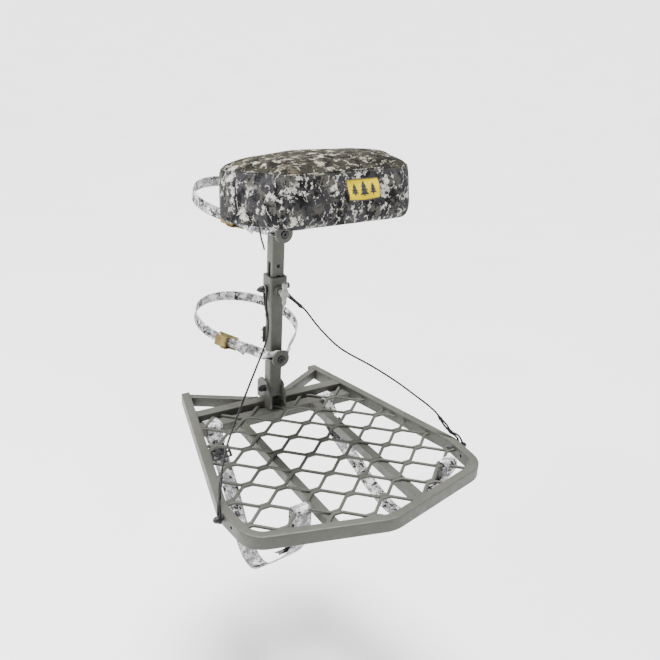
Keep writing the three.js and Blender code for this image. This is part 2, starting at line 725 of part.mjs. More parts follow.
// Each route runs from the anchor bolt to the bolt on the rail, drawn for its own side.
const CABLE_ROUTES = {
  left: [
    [-23.8, -117, 275.2], [-25, -121, 262], [-28, -130, 248], [-31, -143, 231], [-36, -158, 213],
    [-46, -174, 196], [-64, -193, 177], [-92, -221, 158], [-136, -270, 138], [-180, -321, 120],
    [-218, -364, 101], [-250, -402, 80], [-270, -432, 54], [-282, -452, 29], [-289.5, -464, 9],
    [-291.5, -469.5, -4.4],
  ],
  right: [
    [24.2, -117, 274.6], [30, -123, 265], [42, -135, 252], [59, -155, 233], [82, -185, 195],
    [114, -227, 157], [159, -286, 131], [196, -335, 106], [229, -380, 78], [248, -397, 61],
    [261, -411, 46], [270, -427, 30], [278.5, -444, 14], [286.5, -460, 6], [291.5, -469, -3],
  ],
};

function sweptTube(points, r, sides, steps) {
  const knots = points.map((p) => new THREE.Vector3(...p));
  const extrudePath = new THREE.CatmullRomCurve3(knots, false, "centripetal");
  const section = [];
  for (let k = 0; k < sides; k += 1) {
    const t = 2 * Math.PI * k / sides;
    section.push([r * Math.cos(t), r * Math.sin(t)]);
  }
  return new THREE.ExtrudeGeometry(shapeOf(section), { steps, extrudePath, bevelEnabled: false });
}

// A flat eye at the cable's end, with a bore for its bolt.
function cableEye(xLow, xHigh, y, z, bore) {
  return cut(rodX(8, xLow, xHigh, y, z, 20), [rodX(bore, xLow - 5, xHigh + 5, y, z)]);
}

const EYE_LOW = RAIL_OUTER_X + 4;
const EYE_HIGH = EYE_LOW + 4;
const CABLE_HEAD_X = RAIL_OUTER_X - 28; // the bolt's head, inside the rail
const DOMED_NUT = [
  [4.4, 0], [7, 0], [7, 4], [5.5, 7.5], [3, 10], [0, 11], [0, 7.5], [4.4, 7.5], [4.4, 0],
];

SIDES.forEach(([name, side]) => {
  const span = (low, high) => (side > 0 ? [low, high] : [-high, -low]);
  const upper = cableEye(...span(COLLAR_HALF + 0.6, COLLAR_HALF + 4.6), POST_Y, ANCHOR_Z, 5);
  add(`cable_eye_upper_${name}`, upper, BLACK_STEEL, collarFrame);
  const lower = cableEye(...span(EYE_LOW, EYE_HIGH), CABLE_BOLT_Y, CABLE_BOLT_Z, 4.5);
  add(`cable_eye_lower_${name}`, lower, BLACK_STEEL);
  const bolt = rodX(4, ...span(CABLE_HEAD_X, EYE_HIGH + 6), CABLE_BOLT_Y, CABLE_BOLT_Z, 16);
  const head = rodX(7, ...span(CABLE_HEAD_X - 6, CABLE_HEAD_X), CABLE_BOLT_Y, CABLE_BOLT_Z, 6);
  add(`cable_bolt_${name}`, join([bolt, head]), BLACK_STEEL);
  const nut = turnedX(DOMED_NUT, side * (EYE_HIGH + GAP), CABLE_BOLT_Y, CABLE_BOLT_Z, side);
  add(`cable_nut_${name}`, nut, BLACK_STEEL);
  add(`support_cable_${name}`, sweptTube(CABLE_ROUTES[name], CABLE_R, 8, 48), BLACK_PLASTIC);
});

// ---------------------------------------------------------------- seat bracket on the post

const BRACKET_X = POST_SIZE / 2 + GAP;
const BRACKET_THICKNESS = 5;
const STOP_Y = SEAT_PIVOT_Y - 30;
const STOP_R = 4;
const ARM_DEPTH = 13;                   // pivot to the arm's upper or lower edge
const recline = THREE.MathUtils.degToRad(-SEAT_RECLINE);

// A point of the reclined seat, given beside its pivot.
function reclined(y, z) {
  const c = Math.cos(recline);
  const s = Math.sin(recline);
  return [SEAT_PIVOT_Y + y * c - z * s, SEAT_PIVOT_Z + y * s + z * c];
}

const [STOP_PIN_Y, STOP_PIN_Z] = reclined(STOP_Y - SEAT_PIVOT_Y, -ARM_DEPTH - STOP_R - GAP);

function seatBracket(side) {
  const low = side > 0 ? BRACKET_X : -BRACKET_X - BRACKET_THICKNESS;
  const outline = [
    [POST_Y + 14, 444],
    [POST_Y - 8, 442],
    [STOP_PIN_Y - 4, STOP_PIN_Z - 10],
    [STOP_PIN_Y - 11, STOP_PIN_Z + 2],
    [SEAT_PIVOT_Y - 12, SEAT_PIVOT_Z + 12],
    [SEAT_PIVOT_Y + 12, SEAT_PIVOT_Z + 12],
    [POST_Y - 8, 456],
    [POST_Y + 14, 456],
  ];
  const line = rounded(outline, [3, 3, 8, 8, 11, 11, 3, 3], true, 4);
  const plate = sidePlate(line, low, low + BRACKET_THICKNESS);
  return cut(plate, [
    rodX(BOLT_R + GAP, low - 5, low + 12, SEAT_PIVOT_Y, SEAT_PIVOT_Z),
    rodX(STOP_R + GAP, low - 5, low + 12, STOP_PIN_Y, STOP_PIN_Z, 16),
  ]);
}

SIDES.forEach(([name, side]) => add(`seat_bracket_${name}`, seatBracket(side), FRAME_PAINT));
const ARM_OUTER = SEAT_ARM_INNER_X + SEAT_ARM_THICKNESS;
add("seat_stop_pin", rodX(STOP_R, -ARM_OUTER, ARM_OUTER, STOP_PIN_Y, STOP_PIN_Z, 16), BLACK_STEEL);
add(
  "seat_pivot_bolt",
  boltX(BOLT_R, 8, -ARM_OUTER - 9, ARM_OUTER + GAP, SEAT_PIVOT_Y, SEAT_PIVOT_Z),
  BLACK_STEEL,
);
add(
  "seat_pivot_nut",
  nutX(BOLT_R + GAP, 8, -ARM_OUTER - GAP - 7, -ARM_OUTER - GAP, SEAT_PIVOT_Y, SEAT_PIVOT_Z),
  BLACK_STEEL,
);

// ---------------------------------------------------------------- seat
// Drawn level, with its pivot at the origin, in a frame that reclines it.

const seatFrame = new THREE.Group();
seatFrame.position.set(0, SEAT_PIVOT_Y, SEAT_PIVOT_Z);
seatFrame.rotation.x = recline;
stand.add(seatFrame);

const SEAT_PLAN = SEAT_OUTLINE.map(([x, y]) => [x, y - SEAT_PIVOT_Y]);

function seatArm(side) {
  const low = side > 0 ? SEAT_ARM_INNER_X : -ARM_OUTER;
  const outline = [
    [ARM_DEPTH, -ARM_DEPTH],
    [ARM_DEPTH, ARM_DEPTH - GAP],
    [-SEAT_ARM_LENGTH, ARM_DEPTH - GAP],
    [-SEAT_ARM_LENGTH, 2],
    [-70, -ARM_DEPTH],
  ];
  const line = rounded(outline, [12.5, 12.5, 1, 4, 20], true, 4);
  const plate = sidePlate(line, low, low + SEAT_ARM_THICKNESS);
  return cut(plate, [rodX(BOLT_R + GAP, low - 5, low + 12, 0, 0)]);
}

// A plate under the cushion, set in from its edge.
function seatPan() {
  const closed = [...SEAT_PLAN, SEAT_PLAN[0], SEAT_PLAN[1]];
  const inner = offset(closed, -SEAT_PAN_INSET).slice(1, -1);
  const outline = rounded(inner, 12, true, 4);
  return prism(outline, ARM_DEPTH, ARM_DEPTH + SEAT_PAN_THICKNESS);
}

function seatCushion() {
  const low = ARM_DEPTH + SEAT_PAN_THICKNESS + GAP;
  const outline = rounded(SEAT_PLAN, SEAT_RADII, true, 5);
  return prism([...outline].reverse(), low, low + SEAT_THICKNESS, 8);
}

SIDES.forEach(([name, side]) => add(`seat_arm_${name}`, seatArm(side), FRAME_PAINT, seatFrame));
add("seat_pan", seatPan(), BLACK_PLASTIC, seatFrame);
add("seat_cushion", seatCushion(), CAMO_CLOTH, seatFrame);

// The loose end of the cover's draw-cord, hanging from the seat's underside.
const DRAW_CORD = [
  [-98, -214, 487.5], [-94, -216, 476], [-90, -216, 464], [-88, -216, 450], [-85, -216, 436],
  [-81, -216, 424], [-78, -216, 413],
];
add("draw_cord", sweptTube(DRAW_CORD, 1.5, 8, 14), BLACK_PLASTIC);

// ---------------------------------------------------------------- carry straps under the platform
// Each is drawn in side view as [distance forwards, height], from its rear loop to its front loop,
// then set at its rear end and turned in plan.

const CARRY_REAR_Y = -134;

const CARRY_STRAPS = {
  left: {
    x: -162,
    turn: 3.2,
    route: [
      [0, -46], [22, -62], [52, -92], [94, -142], [121, -186], [152, -232], [188, -260],
      [232, -256], [286, -205], [347, -142], [376, -100], [388, -66], [388, -20],
    ],
    buckles: [
      { end: "rear", ahead: 42, z: -73, tilt: 45 },
      { end: "front", ahead: 352, z: -124, tilt: 125 },
    ],
  },
  right: {
    x: 136,
    turn: 12.4,
    route: [
      [0, -46], [18, -70], [48, -100], [82, -124], [131, -152], [175, -182], [234, -208],
      [280, -208], [320, -182], [350, -140], [364, -104], [370, -62], [370, -20],
    ],
    buckles: [
      { end: "rear", ahead: 40, z: -81, tilt: 45 },
      { end: "front", ahead: 359, z: -84, tilt: 98 },
    ],
  },
};

// A ladder buckle: a flat frame with two slots, which the strap threads.
function ladderBuckle() {
  const half = CARRY_WIDTH / 2 + 6;
  const frame = box(-half, half, -14, 14, -2, 2);
  const slots = [-7, 5].map((y) => box(5 - half, half - 5, y - 3, y + 4, -5, 5));
  return cut(frame, slots);
}

Object.entries(CARRY_STRAPS).forEach(([name, { x, turn, route, buckles }]) => {
  const hung = new THREE.Group();
  hung.position.set(x, CARRY_REAR_Y, 0);
  hung.rotation.z = THREE.MathUtils.degToRad(turn);
  stand.add(hung);
  const spline = new THREE.SplineCurve(route.map(([ahead, z]) => new THREE.Vector2(-ahead, z)));
  const line = spline.getSpacedPoints(40).map((p) => [p.x, p.y]);
  const outline = band(line, CARRY_THICKNESS).reverse();
  add(`carry_strap_${name}`, sidePlate(outline, -CARRY_WIDTH / 2, CARRY_WIDTH / 2), WEBBING, hung);
  buckles.forEach(({ end, ahead, z, tilt }) => {
    const buckle = add(`carry_buckle_${end}_${name}`, ladderBuckle(), BLACK_PLASTIC, hung);
    buckle.position.set(0, -ahead, z);
    buckle.rotation.x = THREE.MathUtils.degToRad(tilt);
  });
});

export default stand;
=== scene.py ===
import math
import random

import bpy
import numpy as np
from mathutils import Matrix, Vector
from mathutils.bvhtree import BVHTree


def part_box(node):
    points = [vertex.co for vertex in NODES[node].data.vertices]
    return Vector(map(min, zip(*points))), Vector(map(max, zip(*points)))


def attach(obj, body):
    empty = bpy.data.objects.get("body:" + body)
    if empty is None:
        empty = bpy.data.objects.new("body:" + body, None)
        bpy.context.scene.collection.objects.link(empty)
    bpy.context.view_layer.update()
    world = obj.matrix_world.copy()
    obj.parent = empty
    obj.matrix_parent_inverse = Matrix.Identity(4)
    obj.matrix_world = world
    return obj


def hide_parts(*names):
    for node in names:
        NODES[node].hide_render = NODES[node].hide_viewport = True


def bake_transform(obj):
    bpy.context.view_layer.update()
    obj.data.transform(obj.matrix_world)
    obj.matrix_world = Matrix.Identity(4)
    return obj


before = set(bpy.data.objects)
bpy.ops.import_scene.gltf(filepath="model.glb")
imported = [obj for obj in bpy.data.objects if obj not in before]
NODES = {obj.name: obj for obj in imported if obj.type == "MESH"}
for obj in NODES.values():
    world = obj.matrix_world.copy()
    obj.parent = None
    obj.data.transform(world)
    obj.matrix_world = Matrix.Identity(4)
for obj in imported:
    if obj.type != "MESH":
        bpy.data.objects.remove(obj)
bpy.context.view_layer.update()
MM = 0.001


def mm(*p):
    return Vector(p) * MM


# ------------------------------------------------------------------ camera

CAM_AT = Vector((-0.79669, -1.63533, 0.94679))
CAM_AZIMUTH, CAM_ELEVATION, CAM_ROLL = -31.98, 23.97, 3.07
CAM_LENS = 44.61


def make_camera():
    a, e, r = (math.radians(v) for v in (CAM_AZIMUTH, CAM_ELEVATION, CAM_ROLL))
    back = Vector((math.sin(a) * math.cos(e), -math.cos(a) * math.cos(e), math.sin(e)))
    right = Vector((math.cos(a), math.sin(a), 0))
    up = back.cross(right)
    c, s = math.cos(r), math.sin(r)
    right, up = c * right + s * up, c * up - s * right
    data = bpy.data.cameras.new("camera")
    data.lens = CAM_LENS
    data.sensor_width = 36
    data.clip_start, data.clip_end = 0.05, 300
    cam = bpy.data.objects.new("camera", data)
    bpy.context.scene.collection.objects.link(cam)
    rot = Matrix((right, up, back)).transposed()
    cam.matrix_world = Matrix.Translation(CAM_AT) @ rot.to_4x4()
    bpy.context.scene.camera = cam


make_camera()

# ------------------------------------------------------------------ materials


class Nodes:
    """A short way to write a node tree."""

    def __init__(self, name):
        self.mat = bpy.data.materials.new(name)
        self.mat.use_nodes = True
        self.tree = self.mat.node_tree
        self.bsdf = self.tree.nodes["Principled BSDF"]
        self.coords = self.tree.nodes.new("ShaderNodeTexCoord").outputs["Object"]

    def put(self, socket, value):
        if isinstance(value, bpy.types.NodeSocket):
            self.tree.links.new(value, socket)
        elif isinstance(value, (tuple, list)) and len(value) == 3 and socket.type == "RGBA":
            socket.default_value = (*value, 1)
        else:
            socket.default_value = value

    def set(self, **values):
        for key, value in values.items():
            self.put(self.bsdf.inputs[key.replace("_", " ")], value)

    def mapped(self, vector=None, scale=(1, 1, 1), shift=(0, 0, 0), turn=(0, 0, 0)):
        node = self.tree.nodes.new("ShaderNodeMapping")
        self.put(node.inputs["Vector"], vector or self.coords)
        node.inputs["Scale"].default_value = scale
        node.inputs["Location"].default_value = shift
        node.inputs["Rotation"].default_value = [math.radians(t) for t in turn]
        return node.outputs["Vector"]

    def noise(self, scale, detail=3, rough=0.5, vector=None, distortion=0, out="Fac"):
        node = self.tree.nodes.new("ShaderNodeTexNoise")
        self.put(node.inputs["Vector"], vector or self.coords)
        self.put(node.inputs["Scale"], scale)
        self.put(node.inputs["Detail"], detail)
        self.put(node.inputs["Roughness"], rough)
        self.put(node.inputs["Distortion"], distortion)
        return node.outputs[out]

    def voronoi(self, scale, vector=None, feature="F1", out="Distance", randomness=1.0):
        node = self.tree.nodes.new("ShaderNodeTexVoronoi")
        node.feature = feature
        self.put(node.inputs["Vector"], vector or self.coords)
        self.put(node.inputs["Scale"], scale)
        self.put(node.inputs["Randomness"], randomness)
        return node.outputs[out]

    def math(self, op, a, b=0.0, clamp=False):
        node = self.tree.nodes.new("ShaderNodeMath")
        node.operation = op
        node.use_clamp = clamp
        self.put(node.inputs[0], a)
        self.put(node.inputs[1], b)
        return node.outputs[0]

    def step(self, value, low, high, to=(0, 1)):
        node = self.tree.nodes.new("ShaderNodeMapRange")
        node.interpolation_type = "SMOOTHSTEP"
        self.put(node.inputs["Value"], value)
        self.put(node.inputs["From Min"], low)
        self.put(node.inputs["From Max"], high)
        self.put(node.inputs["To Min"], to[0])
        self.put(node.inputs["To Max"], to[1])
        return node.outputs["Result"]

    def mix(self, factor, a, b, kind="MIX"):
        node = self.tree.nodes.new("ShaderNodeMix")
        node.data_type = "RGBA"
        node.blend_type = kind
        self.put(node.inputs["Factor"], factor)
        self.put(node.inputs[6], a)
        self.put(node.inputs[7], b)
        return node.outputs[2]

    def offset(self, vector, by, amount):
        """The vector moved by a colour, for patterns with wandering edges."""
        scaled = self.tree.nodes.new("ShaderNodeVectorMath")
        scaled.operation = "SCALE"
        self.put(scaled.inputs[0], by)
        scaled.inputs["Scale"].default_value = amount
        total = self.tree.nodes.new("ShaderNodeVectorMath")
        total.operation = "ADD"
        self.put(total.inputs[0], vector)
        self.put(total.inputs[1], scaled.outputs[0])
        return total.outputs[0]

    def part(self, vector, axis):
        node = self.tree.nodes.new("ShaderNodeSeparateXYZ")
        self.put(node.inputs[0], vector)
        return node.outputs[axis]

    def attribute(self, name):
        node = self.tree.nodes.new("ShaderNodeAttribute")
        node.attribute_name = name
        return node.outputs["Vector"]

    def normal(self):
        return self.tree.nodes.new("ShaderNodeNewGeometry").outputs["Normal"]

    def bump(self, height, distance, strength=1.0, before=None):
        node = self.tree.nodes.new("ShaderNodeBump")
        self.put(node.inputs["Height"], height)
        node.inputs["Distance"].default_value = distance
        node.inputs["Strength"].default_value = strength
        if before is not None:
            self.put(node.inputs["Normal"], before)
        return node.outputs["Normal"]


def paint_material(name, low, high, chip, rough=(0.42, 0.58)):
    """Powder coat: slow shade changes, fine orange peel, a few small rubbed spots."""
    n = Nodes(name)
    cloud = n.noise(9, 4, 0.6)
    fine = n.noise(140, 3, 0.55)
    base = n.mix(n.step(cloud, 0.35, 0.68), low, high)
    base = n.mix(n.step(fine, 0.42, 0.6, (0, 0.22)), base, [c * 1.25 for c in high])
    spots = n.step(n.noise(60, 5, 0.7), 0.66, 0.74)
    rubbed = n.math("MULTIPLY", spots, n.step(n.noise(7, 2), 0.5, 0.66), True)
    base = n.mix(n.math("MULTIPLY", rubbed, 0.6), base, chip)
    peel = n.bump(n.noise(700, 2, 0.5), 0.00025, 0.35)
    peel = n.bump(n.noise(2600, 2, 0.5), 0.0001, 0.3, peel)
    n.set(Base_Color=base, Roughness=n.step(n.noise(45, 3), 0.3, 0.7, rough), Metallic=0.0, Normal=peel)
    n.bsdf.inputs["Specular IOR Level"].default_value = 0.3
    return n.mat


def steel_material(name, low, high, metallic, rough):
    n = Nodes(name)
    n.set(
        Base_Color=n.mix(n.step(n.noise(60, 4, 0.65), 0.3, 0.7), low, high),
        Roughness=n.step(n.noise(180, 4, 0.6), 0.3, 0.7, rough),
        Metallic=metallic,
        Normal=n.bump(n.noise(900, 4, 0.6), 0.00012, 0.5),
    )
    return n.mat


def plastic_material(name, low, high, rough, grain=900):
    n = Nodes(name)
    n.set(
        Base_Color=n.mix(n.step(n.noise(40, 4), 0.35, 0.7), low, high),
        Roughness=n.step(n.noise(120, 3), 0.3, 0.7, rough),
        Normal=n.bump(n.noise(grain, 3, 0.6), 0.0002, 0.4),
    )
    return n.mat


def camo_layers(n, vector, scale, dark, mid, warm, light, cover=0.5):
    """Irregular patches in four tones with torn edges and thin twig-like strokes."""
    wander = n.noise(scale * 1.7, 4, 0.65, vector, out="Color")
    torn = n.offset(vector, wander, 0.9 / scale)
    fine = n.offset(vector, n.noise(scale * 6, 3, 0.7, vector, out="Color"), 0.25 / scale)
    base = n.mix(n.step(n.noise(scale * 0.9, 5, 0.62, torn), 0.44, 0.5), dark, mid)
    warm_patches = n.noise(scale * 1.3, 5, 0.7, n.mapped(torn, shift=(3, 7, 1)))
    base = n.mix(n.step(warm_patches, 0.53, 0.57), base, warm)
    blots = n.noise(scale * 1.1, 6, 0.72, n.mapped(fine, shift=(11, 2, 5)))
    base = n.mix(n.step(blots, 0.565 - 0.06 * (cover - 0.5), 0.585), base, light)
    twig = n.voronoi(scale * 1.6, n.mapped(torn, scale=(1, 1, 0.45)), "DISTANCE_TO_EDGE")
    lit = n.step(n.noise(scale * 2.2, 2, 0.5, n.mapped(vector, shift=(5, 5, 5))), 0.5, 0.56)
    strokes = n.math("MULTIPLY", n.step(twig, 0.05, 0.015), lit, True)
    base = n.mix(n.math("MULTIPLY", strokes, 0.85), base, light)
    shade = n.step(n.noise(scale * 2.4, 6, 0.75, n.mapped(fine, shift=(1, 9, 4))), 0.56, 0.6)
    return n.mix(n.math("MULTIPLY", shade, 0.9), base, dark)


def camo_cloth_material():
    """Printed polyester: mottled greys on the sides; up-facing faces take a browner copy of the print in darker
    tones, the darker tones being painted shade on the top.
    """
    n = Nodes("camo_cloth")
    side = camo_layers(
        n, n.mapped(scale=(1, 1, 0.85)), 31,
        (0.004, 0.004, 0.005), (0.03, 0.029, 0.032), (0.066, 0.062, 0.055), (0.46, 0.45, 0.41), 0.5,
    )
    # the top's copy: browner print, its darker tones painted shade
    top = camo_layers(
        n, n.mapped(scale=(0.8, 1.0, 1), turn=(0, 0, 25)), 34,
        (0.004, 0.004, 0.003), (0.022, 0.02, 0.015), (0.055, 0.046, 0.033), (0.33, 0.31, 0.25), 0.3,
    )
    # up-facing faces switch to the darker top copy: painted shade by facing
    up = n.step(n.part(n.normal(), 2), 0.45, 0.75)
    warp = n.math("SINE", n.math("MULTIPLY", n.part(n.mapped(turn=(0, 0, 45)), 0), 5200))
    weft = n.math("SINE", n.math("MULTIPLY", n.part(n.mapped(turn=(0, 0, 45)), 1), 5200))
    rise = n.math("SINE", n.math("MULTIPLY", n.part(n.coords, 2), 5200))
    weave = n.math("ADD", n.math("MULTIPLY", warp, weft), n.math("MULTIPLY", warp, rise))
    crease = n.bump(n.noise(38, 4, 0.6, n.mapped(scale=(1, 1, 1.6))), 0.004, 0.28)
    normal = n.bump(weave, 0.00022, 0.35, crease)
    rough = n.step(n.noise(300, 2), 0.3, 0.7, (0.72, 0.92))
    n.set(Base_Color=n.mix(up, side, top), Roughness=rough, Normal=normal)
    n.bsdf.inputs["Specular IOR Level"].default_value = 0.12
    n.bsdf.inputs["Sheen Weight"].default_value = 0.02
    n.bsdf.inputs["Sheen Roughness"].default_value = 0.5
    return n.mat


def webbing_material(name, scale, dark, mid, warm, light, cover):
    """Woven webbing: ribs across, a chevron along, firm selvedges, and painted shade that darkens the weave's
    grooves.
    """
    n = Nodes(name)
    cloth = n.attribute("weave")
    print_ = camo_layers(n, n.mapped(scale=(1, 1, 1)), scale, dark, mid, warm, light, cover)
    along, across = n.part(cloth, 0), n.part(cloth, 1)
    ribs = n.math("SINE", n.math("MULTIPLY", along, 3600))
    cords = n.math("SINE", n.math("ADD", n.math("MULTIPLY", across, 5200), n.math("MULTIPLY", ribs, 1.2)))
    weave = n.math("ADD", n.math("MULTIPLY", ribs, 0.5), cords)
    edge = n.step(n.math("ABSOLUTE", n.part(cloth, 2)), 0.86, 0.97)
    base = n.mix(n.math("MULTIPLY", edge, 0.55), print_, mid)
    # painted shade: the print darkened towards black in the weave's low grooves
    base = n.mix(n.step(weave, -1.4, -0.3, (0.45, 0)), base, dark)
    rough = n.step(n.noise(200, 2), 0.3, 0.7, (0.6, 0.8))
    n.set(Base_Color=base, Roughness=rough, Normal=n.bump(weave, 0.0003, 0.6))
    n.bsdf.inputs["Specular IOR Level"].default_value = 0.15
    n.bsdf.inputs["Sheen Weight"].default_value = 0.03
    n.bsdf.inputs["Sheen Roughness"].default_value = 0.4
    return n.mat


def thread_material(name, low, high):
    n = Nodes(name)
    twist = n.math("SINE", n.math("MULTIPLY", n.part(n.coords, 0), 9000))
    base = n.mix(n.step(n.noise(400, 2), 0.3, 0.7), low, high)
    n.set(Base_Color=base, Roughness=0.7, Normal=n.bump(twist, 0.0001, 0.4))
    return n.mat


def vinyl_material():
    """Smooth black vinyl with a faint drawn grain."""
    n = Nodes("black_vinyl")
    n.set(
        Base_Color=n.mix(n.step(n.noise(80, 4), 0.35, 0.7), (0.004, 0.004, 0.004), (0.012, 0.012, 0.013)),
        Roughness=n.step(n.noise(150, 3), 0.3, 0.7, (0.4, 0.55)),
        Normal=n.bump(n.noise(500, 3), 0.00008, 0.25),
    )
    n.bsdf.inputs["Specular IOR Level"].default_value = 0.25
    return n.mat


PAINT = paint_material("frame_paint", (0.054, 0.055, 0.046), (0.068, 0.069, 0.058), (0.12, 0.12, 0.105))
BLACK_STEEL = steel_material("black_steel", (0.012, 0.012, 0.013), (0.035, 0.035, 0.037), 0.55, (0.3, 0.5))
ZINC = steel_material("zinc", (0.2, 0.2, 0.185), (0.28, 0.28, 0.26), 0.4, (0.35, 0.5))
YELLOW_ZINC = steel_material("yellow_zinc", (0.1, 0.065, 0.02), (0.25, 0.205, 0.075), 0.7, (0.3, 0.5))
PLASTIC = plastic_material("black_plastic", (0.008, 0.008, 0.009), (0.022, 0.022, 0.023), (0.4, 0.6))
VINYL = vinyl_material()
CAMO = camo_cloth_material()
WEBBING = webbing_material(
    "webbing", 42, (0.008, 0.008, 0.009), (0.24, 0.24, 0.255), (0.55, 0.55, 0.54), (0.88, 0.88, 0.87), 1.4)
TAIL = plastic_material("black_webbing", (0.008, 0.008, 0.009), (0.03, 0.03, 0.032), (0.6, 0.8), 2400)
DARK_THREAD = thread_material("dark_thread", (0.012, 0.012, 0.012), (0.04, 0.04, 0.04))

# ------------------------------------------------------------------ mesh helpers


def new_object(name, verts, faces, material, body, slot, smooth=True):
    data = bpy.data.meshes.new(name)
    data.from_pydata([tuple(v) for v in verts], [], faces)
    data.validate()
    data.update()
    if smooth:
        data.shade_smooth()
    data.materials.append(material)
    obj = bpy.data.objects.new(name, data)
    bpy.context.scene.collection.objects.link(obj)
    if body:
        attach(obj, body)
    return obj


def joined(parts):
    """Several (verts, faces) lists as one."""
    verts, faces = [], []
    for v, f in parts:
        base = len(verts)
        verts.extend(v)
        faces.extend([tuple(i + base for i in face) for face in f])
    return verts, faces


def resample(points, spacing, smooth=True):
    """Points at even steps along a Catmull-Rom curve through the given points."""
    p = [Vector(q) for q in points]
    dense = []
    if smooth and len(p) > 2:
        ext = [2 * p[0] - p[1], *p, 2 * p[-1] - p[-2]]
        for i in range(1, len(ext) - 2):
            a, b, c, d = ext[i - 1:i + 3]
            for k in range(24):
                t = k / 24
                dense.append(0.5 * (2 * b + (c - a) * t + (2 * a - 5 * b + 4 * c - d) * t * t
                                    + (3 * b - a - 3 * c + d) * t ** 3))
        dense.append(p[-1])
    else:
        dense = p
    steps = [0.0]
    for a, b in zip(dense, dense[1:]):
        steps.append(steps[-1] + (b - a).length)
    count = max(2, round(steps[-1] / spacing) + 1)
    out, j = [], 0
    for k in range(count):
        s = steps[-1] * k / (count - 1)
        while j < len(steps) - 2 and steps[j + 1] < s:
            j += 1
        span = steps[j + 1] - steps[j]
        t = (s - steps[j]) / span if span else 0
        out.append(dense[j].lerp(dense[j + 1], t))
    return out


def tangents(path):
    n = len(path)
    return [(path[min(i + 1, n - 1)] - path[max(i - 1, 0)]).normalized() for i in range(n)]


def ring_walls(rings, size, caps=True):
    """The faces that join rings of equally many points, and close their two ends."""
    faces = []
    for i in range(rings - 1):
        for j in range(size):
            k = (j + 1) % size
            faces.append((i * size + j, i * size + k, (i + 1) * size + k, (i + 1) * size + j))
    if caps:
        faces.append(tuple(range(size))[::-1])
        faces.append(tuple(range((rings - 1) * size, rings * size)))
    return faces


def swept(path, sections, across, caps=True):
    """A closed section carried along a path; across gives the section's first axis at each point."""
    verts = []
    size = len(sections[0])
    for p, t, section, side in zip(path, tangents(path), sections, across):
        first = (side - t * side.dot(t)).normalized()
        second = t.cross(first)
        verts.extend(p + first * a + second * b for a, b in section)
    return verts, ring_walls(len(path), size, caps)


def carried(path):
    """A side vector for each point, turned as little as possible."""
    ts = tangents(path)
    side = ts[0].orthogonal().normalized()
    out = []
    for t in ts:
        side = (side - t * side.dot(t)).normalized()
        out.append(side.copy())
    return out


def circle(r, n=12):
    return [(r * math.cos(2 * math.pi * k / n), r * math.sin(2 * math.pi * k / n)) for k in range(n)]


def tube(path, r, n=12):
    """A round tube with flat closed ends."""
    radii = [r if not callable(r) else r(i / (len(path) - 1)) for i in range(len(path))]
    return swept(path, [circle(q, n) for q in radii], carried(path))


def rounded_box(a, b, r, n=3):
    """A rounded rectangle section, a by b."""
    out = []
    x, y = a / 2 - r, b / 2 - r
    for cx, cy, start in ((x, y, 0), (-x, y, 90), (-x, -y, 180), (x, -y, 270)):
        for k in range(n + 1):
            t = math.radians(start + 90 * k / n)
            out.append((cx + r * math.cos(t), cy + r * math.sin(t)))
    return out


def lathe(profile, n=48):
    """A turned solid about Z from (radius, z) pairs, on the axis at both ends or closed on themselves."""
    verts, faces, rings = [], [], []
    for r, z in profile:
        if r < 1e-7:
            rings.append([len(verts)])
            verts.append(Vector((0, 0, z)))
        else:
            rings.append(list(range(len(verts), len(verts) + n)))
            verts.extend(Vector((x, y, z)) for x, y in circle(r, n))
    for a, b in zip(rings, rings[1:]):
        for k in range(n):
            m = (k + 1) % n
            if len(a) == 1 and len(b) == 1:
                continue
            if len(a) == 1:
                faces.append((a[0], b[m], b[k]))
            elif len(b) == 1:
                faces.append((a[k], a[m], b[0]))
            else:
                faces.append((a[k], a[m], b[m], b[k]))
    return verts, faces


def placed(part, matrix):
    verts, faces = part
    return [matrix @ v for v in verts], faces


def axes(x, y, z, at):
    """A matrix whose columns are the given axes."""
    m = Matrix((x, y, z)).transposed().to_4x4()
    m.translation = at
    return m


def weld_bead(points, r):
    """A weld run: overlapping ripples, a little uneven."""
    path = resample(points, 0.0011, smooth=False)
    rng = random.Random(len(path))
    phase = rng.random() * 6
    sections = []
    for i in range(len(path)):
        ripple = 0.86 + 0.14 * abs(math.sin(i * 0.62 + phase)) + 0.07 * (rng.random() - 0.5)
        ends = min(1.0, 0.35 + 0.4 * min(i, len(path) - 1 - i))
        sections.append(circle(r * ripple * ends, 8))
    return swept(path, sections, carried(path))


def surface_tree(data):
    """A mesh's surface, for finding where a ray meets it."""
    return BVHTree.FromPolygons([v.co for v in data.vertices], [tuple(p.vertices) for p in data.polygons])


def finish_cad(name, material, bevel=0.0007, segments=2):
    """A kept CAD node: its own shape, with softened edges and a real material."""
    obj = NODES[name]
    data = obj.data
    data.materials.clear()
    data.materials.append(material)
    if "custom_normal" in data.attributes:
        data.attributes.remove(data.attributes["custom_normal"])
    data.shade_smooth()
    weld = obj.modifiers.new("weld", "WELD")
    weld.merge_threshold = 1e-6
    edge = obj.modifiers.new("bevel", "BEVEL")
    edge.width = bevel
    edge.segments = segments
    edge.limit_method = "ANGLE"
    edge.angle_limit = math.radians(38)
    edge.harden_normals = False
    normals = obj.modifiers.new("normals", "WEIGHTED_NORMAL")
    normals.keep_sharp = False
    normals.weight = 60
    return obj

# ------------------------------------------------------------------ kept CAD nodes

